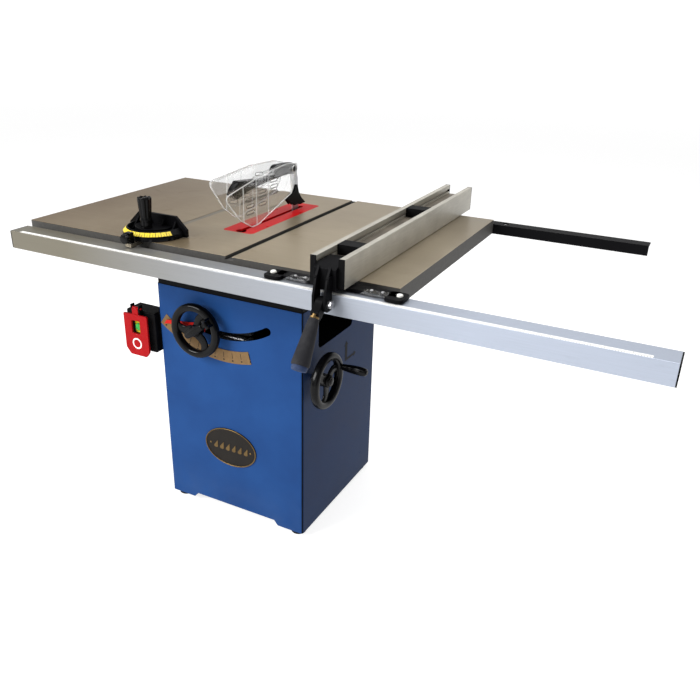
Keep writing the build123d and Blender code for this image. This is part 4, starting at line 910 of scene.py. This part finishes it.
gather = Gather()
knobProfile = smoothLine([(0, 27.2), (13.6, 27.2), (15, 28.4), (15, 40), (15.4, 46), (14.8, 52), (15.6, 62),
                          (17.4, 84),
                          (18.3, 98), (18.2, 102)], 60).tolist() + [(17.6, 104.4), (15.8, 105), (13.4, 104.6),
                                                                    (12.4, 101.5), (0, 101.2)]


def knobRipple(t, r, h):
    fade = np.clip((h - 44) / 10, 0, 1)
    return 1 - 0.085 * fade * (0.5 - 0.5 * np.cos(gauge["flutes"] * t)) ** 2


def knobLift(t, r, h):
    # the rim's top dips where the flutes are, which leaves a crown of teeth
    return -2.6 * np.clip((h - 100) / 4, 0, 1) * np.clip((r - 12) / 3, 0,
                                                         1) * (0.5 - 0.5 * np.cos(gauge["flutes"] * t))


gather.turned(turnedGrid((*gauge["knob"], 0), (0, 0, 1), knobProfile, 96, knobRipple, knobLift))
gather.piece("gaugeKnobLooks", "handwheelBlack", "miter_knob", "gloss_black", stands=("miter_handle",))
gather = Gather()
stopProfile = [(0, -13.5), (3.6, -13.5), (3.9, -13.2), (3.9, 2.2), (8, 2.2), (12.2, 2.6), (12.9, 4),
               (12.9, 12), (12.2, 14.2),
               (10, 15), (0, 15)]
gather.turned(turnedGrid((gaugeX, -384, 14.5), (0, -1, 0), stopProfile, 80,
                         lambda t, r, h: 1 - 0.11 * (r > 9) * (0.5 - 0.5 * np.cos(8 * t)) ** 2))
gather.piece("gaugeStopLooks", "handwheelBlack", "miter_stop", "gloss_black", stands=("miter_stop",))
print("mitre gauge")

# blade guard

guard = {"pivot": (112.0, 128.0), "across": 22.0, "wall": 3.0, "bead": 1.3, "louvreBead": 0.9,
         "leftLift": 6.0}
stations = np.array([
    # along, middle height, half width, half height
    (-176, 104, 1.5, 3), (-172, 105.5, 8, 10), (-162, 109, 10.8, 15), (-147, 113, 11.2, 19), (-128, 112.5, 11,
                                                                                              17.5),
    (-95, 112.5, 10, 12.5), (-44, 114, 8.5, 9.5), (0, 116, 8, 8.5), (34, 119, 8, 10.5), (42, 127, 10, 20),
    (60, 129, 11, 18.5), (110, 127.5, 11, 17), (138, 124, 10, 15), (154, 119.5, 8, 10), (166, 117, 3,
                                                                                         4)], float)
line = smoothLine(stations, 110)
path = np.stack([0 * line[:, 0], line[:, 0], line[:, 1]], 1)
gather = Gather()
gather.tube(sweptGrid(path, np.clip(line[:, 2:], 1, None), (0, 0, 1), 28, 3.4))
nose = evenLoop(np.array([(-176, 104), (-144, 134.5), (-60, 125.5), (-60, 106), (-100, 104), (-158, 89.5)],
                         float), 90, 3.0)
gather.plate(sideView(nose, -10.5), (21, 0, 0))
for side in (-1, 1):
    gather.turned(turnedGrid((0, *guard["pivot"]), (side, 0, 0), [(0, 8), (4.9, 8), (4.9, 25.2), (0, 25.2)],
                             36))
    boltHead = smoothLine([(0, 27), (4, 26.8), (7, 26.2), (7.6, 25.5)], 12).tolist() + [(7.6, 25.2),
                                                                                        (0, 25.2)]
    gather.turned(turnedGrid((0, *guard["pivot"]), (side, 0, 0), boltHead, 36))
gather.piece("guardSpineLooks", "handwheelBlack", "tilt_carriage", "gloss_black", stands=("guard_bridge",),
             sharp=50)

pawl = [(104, 38), (126, 18), (136, 20), (146, 12), (160, 14), (178, 9), (208, 11), (184, 30), (170, 48),
        (162, 72),
        (150, 74), (142, 54)]
gather = Gather()
for across in (2.5, -6.5):
    gather.plate(sideView(evenLoop(np.array(pawl), 90, 2.4), across), (4, 0, 0))
gather.piece("pawlLooks", "frameBlack", "pawls", "frame_black", stands=("kickback_pawls",), bevel=0.6)

shieldOutline = np.array([(19, 15), (8, -35), (-17, -69), (-74, -86), (-195, -122), (-225, -122), (-280, -92),
                          (-340, -30), (-340, -18), (-319, -13), (-160, 14), (-40, 22)], float)


def ontoShield(points, side, across):
    # (along, up) about the pivot, turned by that shield's lift at rest
    tilt = math.radians(guard["leftLift"]) if side < 0 else 0.0
    p = np.array(points, float)
    y = guard["pivot"][0] + p[:, 0] * math.cos(tilt) + p[:, 1] * math.sin(tilt)
    z = guard["pivot"][1] - p[:, 0] * math.sin(tilt) + p[:, 1] * math.cos(tilt)
    return np.stack([np.full(len(p), side * across), y, z], 1)


for side, body, word in ((1, "right_shield", "right"), (-1, "left_shield", "left")):
    gather = Gather()
    across = guard["across"] + guard["wall"] / 2
    inner = shieldOutline + (np.mean(shieldOutline, 0) - shieldOutline) * 0.026
    gather.ring(loopTube(ontoShield(evenLoop(inner, 220, 5), side, across), (1, 0, 0), guard["bead"]))
    t = np.linspace(0, 2 * math.pi, 40, endpoint=False)
    boss = 9.5 * np.stack([np.cos(t), np.sin(t)], 1)
    gather.ring(loopTube(ontoShield(boss, side, across + 0.6), (1, 0, 0), 1.5))
    for top, low in (((-140, 13), (-140, -104)), ((-200, 4), (-200, -119)), ((-262, -4), (-262, -100))):
        rib = ontoShield([top, low], side, across + 0.9)
        gather.tube(sweptGrid(rib, [(1.1, 1.1), (1.1, 1.1)], (1, 0, 0), 10))
    gather.piece(word + "ShieldBeads", "guardEdge", body, "guard_clear")
    gather = Gather()
    for y, z in ((-110, -30), (-170, -50), (-230, -62)):
        for row in (-17, 0, 17):
            slotLine = roundRect(37, 9, 4.4, (y, z + row), 6)
            gather.ring(loopTube(ontoShield(slotLine, side, across + 0.8), (1, 0, 0), guard["louvreBead"], 8))
    gather.piece(word + "ShieldLouvres", "louvreShade", body, "guard_clear")
print("guard")

# nameplate, switch, arrows, rule, blade

plate = {"centre": (9.0, -628.0), "half": (89.0, 62.0), "teeth": 6, "pitch": 21.0, "toothHeight": 26.0}
t = np.linspace(0, 2 * math.pi, 128, endpoint=False)
oval = np.stack([plate["centre"][0] + (plate["half"][0] - 2) * np.cos(t),
                 plate["centre"][1] + (plate["half"][1] - 2) * np.sin(t)], 1)
gather = Gather()
gather.ring(loopTube(frontView(oval, -235.2), (0, 1, 0), 1.9, 12))
for k in range(plate["teeth"]):
    # a saw tooth: upright face, straight back, round gullet
    x = plate["centre"][0] + (k - (plate["teeth"] - 1) / 2) * plate["pitch"]
    z = plate["centre"][1] - plate["toothHeight"] / 2
    a = np.radians(np.linspace(200, 340, 9))
    gullet = np.stack([x + 1 + 7 * np.cos(a), z + 6 + 5 * np.sin(a)], 1).tolist()
    gather.plate(frontView(gullet + [(x + 8, z + plate["toothHeight"]), (x - 5, z + 9)], -235.9), (0, 1.2, 0))
for x in (-70, 70):
    rivet = smoothLine([(0, 2.1), (1.8, 1.7), (3.1, 0.6), (3.2, 0)], 12).tolist() + [(0, 0)]
    gather.turned(turnedGrid((plate["centre"][0] + x, -235, plate["centre"][1]), (0, -1, 0), rivet, 24))
gather.piece("nameplateBrass", "brass", "base", "bronze_plate", bevel=0.3)

paddle = {"centre": (-286.0, -322.0), "window": (-286.0, -297.0), "width": 86.0, "height": 128.0,
          "chamfer": 20.0,
          "front": -264.0, "thick": 6.0, "ring": 17.0}
cx, cz = paddle["centre"]
w, h, c = paddle["width"] / 2, paddle["height"] / 2, paddle["chamfer"]
outline = np.array([(cx - w, cz + h), (cx - w, cz - h + c), (cx - w + c * 0.8, cz - h), (cx + w - c * 0.6,
                                                                                         cz - h),
                    (cx + w, cz - h + c * 0.8), (cx + w, cz + h)], float)
angles = np.linspace(0, 2 * math.pi, 240, endpoint=False)
outer = raysTo(evenLoop(outline, 300, 4.0), np.array(paddle["window"]), angles)
inner = raysTo(roundRect(30, 40, 3, paddle["window"]), np.array(paddle["window"]), angles)
gather = Gather()
gather.frame(frontView(outer, paddle["front"]), frontView(inner, paddle["front"]), (0, paddle["thick"], 0))
gather.turned(turnedGrid((-286 - 19, -256, -240), (1, 0, 0), [(0, 0), (2.95, 0), (2.95, 38), (0, 38)], 24))
gather.block((-297, -262, -268), (-275, -256, -240))
gather.turned(turnedGrid((-286 - 11, -256, -240), (1, 0, 0), [(0, 0), (4.9, 0), (4.9, 22), (0, 22)], 28))
gather.piece("paddleLooks", "paddleRed", "paddle", "switch_red", stands=("stop_paddle",), bevel=0.9)
t = np.linspace(0, 2 * math.pi, 72, endpoint=False)
circle = np.stack([np.cos(t), np.sin(t)], 1)
ringAt = np.array([cx, cz - 26])
gather = Gather()
gather.frame(frontView(ringAt + paddle["ring"] * circle, -264.35),
             frontView(ringAt + (paddle["ring"] - 4.5) * circle, -264.35),
             (0, 0.6, 0))
gather.piece("paddleRing", "ringWhite", "paddle", "switch_red")
gather = Gather()
labelOuter = raysTo(roundRect(28, 42, 2, (-286, -298)), np.array((-286.0, -300.0)), t)
gather.frame(frontView(labelOuter, -248.6), frontView(np.array((-286.0, -300.0)) + 11.5 * circle, -248.6),
             (0, 0.5, 0))
gather.piece("startLabel", "labelYellow", "base", "black_plastic")
gather = Gather()
buttonProfile = smoothLine([(0, 1.0), (6, 0.8), (9.6, 0.2), (10.8, -1.2)], 18).tolist() + [(10.8, -25),
                                                                                           (0, -25)]
gather.turned(turnedGrid((-286, -254, -300), (0, -1, 0), buttonProfile, 48))
gather.piece("buttonLooks", "buttonGreen", "button", "switch_green", stands=("start_button",))

arrows = {"corner": (14.0, -393.0), "up": 64.0, "along": 72.0, "wide": 14.0, "thin": 7.0, "head": 5.0}
y, z = arrows["corner"]
wide, thin, head = arrows["wide"], arrows["thin"], arrows["head"]
right, top = y + arrows["along"], z + arrows["up"]
shape = [(y, z), (right - 14, z), (right - 14, z - head), (right, z + thin / 2),
         (right - 14, z + thin + head),
         (right - 14, z + thin), (y + wide, z + thin), (y + wide, top - 14), (y + wide + head, top - 14),
         (y + wide / 2, top), (y - head, top - 14), (y, top - 14)]
gather = Gather()
gather.plate(sideView(shape, 252.05), (0.35, 0, 0))
gather.piece("turnArrows", "arrowBlack", "base", "cabinet_blue")

rule = {"from": -520.0, "to": 1085.0, "front": -420.5, "back": -408.5, "thick": 0.25}
gather = Gather()
gather.block((rule["from"], rule["front"], -11.98), (rule["to"], rule["back"], -11.98 + rule["thick"]))
gather.piece("railRule", "tapeScale", "base", "rail_aluminium")

blade = {"radius": 125.6, "gullet": 7.0, "teeth": 40, "centre": -131.0, "plate": 2.2}
t = np.linspace(0, 2 * math.pi, blade["teeth"] * 16, endpoint=False)
phase = (t * blade["teeth"] / (2 * math.pi)) % 1.0
# each tooth: a slow rise to the tip, a steep drop, a round gullet
tooth = np.where(phase < 0.55, (phase / 0.55) ** 0.6, 0.5 + 0.5 * np.cos(np.clip((phase - 0.55) / 0.12, 0,
                                                                                 1) * math.pi))
edge = blade["radius"] - blade["gullet"] * (1 - tooth)
rim = np.stack([edge * np.cos(t), blade["centre"] + edge * np.sin(t)], 1)
bore = np.stack([8.0 * np.cos(t), blade["centre"] + 8.0 * np.sin(t)], 1)
gather = Gather()
gather.frame(sideView(rim, -blade["plate"] / 2), sideView(bore, -blade["plate"] / 2), (blade["plate"], 0, 0))
gather.piece("bladeLooks", "bladeSteel", "arbor", "blade_steel", stands=("saw_blade",))

print("small parts")

# floor, light and camera

floor = {"half": 14.0, "backdrop": 5.0, "glow": 0.8}
floorMesh = bpy.data.meshes.new("studioFloor")
corners = [(-1, -1, 0), (1, -1, 0), (1, 1, 0), (-1, 1, 0), (1, 1, 1), (-1, 1, 1), (-1, -1, 1)]
corners = np.array(corners, float) * (floor["half"], floor["half"], floor["backdrop"])
floorMesh.from_pydata(corners.tolist(), [], [(0, 1, 2, 3), (3, 2, 4, 5), (0, 3, 5, 6)])
floorFinish = Finish("studioFloorPaint", rough=0.9, specular=0.0, glow=floor["glow"])
floorFinish.shader.inputs["Emission Color"].default_value = (1.0, 1.0, 1.0, 1.0)
floorFinish.colour(floorFinish.mix(floorFinish.noise(1.5), rgb(170, 170, 170), rgb(174, 174, 174)))
floorMesh.materials.append(floorFinish.material)
floorPiece = bpy.data.objects.new("studioFloor", floorMesh)
floorPiece.location.z = -0.0005
bpy.context.scene.collection.objects.link(floorPiece)

world = bpy.data.worlds.new("studio")
world.use_nodes = True
world.node_tree.nodes["Background"].inputs["Color"].default_value = (1.0, 1.0, 1.0, 1.0)
world.node_tree.nodes["Background"].inputs["Strength"].default_value = 0.3
bpy.context.scene.world = world

lamps = {
    "key": {"at": (-2.6, -3.4, 2.9), "size": 2.2, "watts": 250.0},
    "fill": {"at": (0.2, -3.6, 0.9), "size": 2.6, "watts": 16.0},
    "top": {"at": (0.3, 0.6, 3.6), "size": 3.4, "watts": 125.0},
}
for name, lamp in lamps.items():
    light = bpy.data.lights.new(name, "AREA")
    light.size = lamp["size"]
    light.energy = lamp["watts"]
    holder = bpy.data.objects.new(name, light)
    holder.location = lamp["at"]
    aim = Vector((0.0, 0.0, 0.55)) - Vector(lamp["at"])
    holder.rotation_euler = aim.to_track_quat("-Z", "Y").to_euler()
    bpy.context.scene.collection.objects.link(holder)

view = {
    "at": spot(1140.4, -1772.8, 546.8),
    "forward": Vector((-0.42177, 0.80748, -0.41241)),
    "right": Vector((0.88278, 0.46950, 0.01644)),
    "lens": 38.62,
    "shift": 0.0266,
}
camera = bpy.data.objects.new("camera", bpy.data.cameras.new("camera"))
sight = view["forward"].normalized()
sideways = (view["right"] - sight * view["right"].dot(sight)).normalized()
upwards = sideways.cross(sight)
turned = Matrix((sideways, upwards, -sight)).transposed().to_4x4()
camera.matrix_world = Matrix.Translation(view["at"]) @ turned
camera.data.lens = view["lens"]
camera.data.sensor_width = 36.0
camera.data.shift_x = view["shift"]
camera.data.clip_end = 60.0
bpy.context.scene.collection.objects.link(camera)
bpy.context.scene.camera = camera
bpy.context.scene.view_settings.view_transform = "Standard"
print("studio ready")
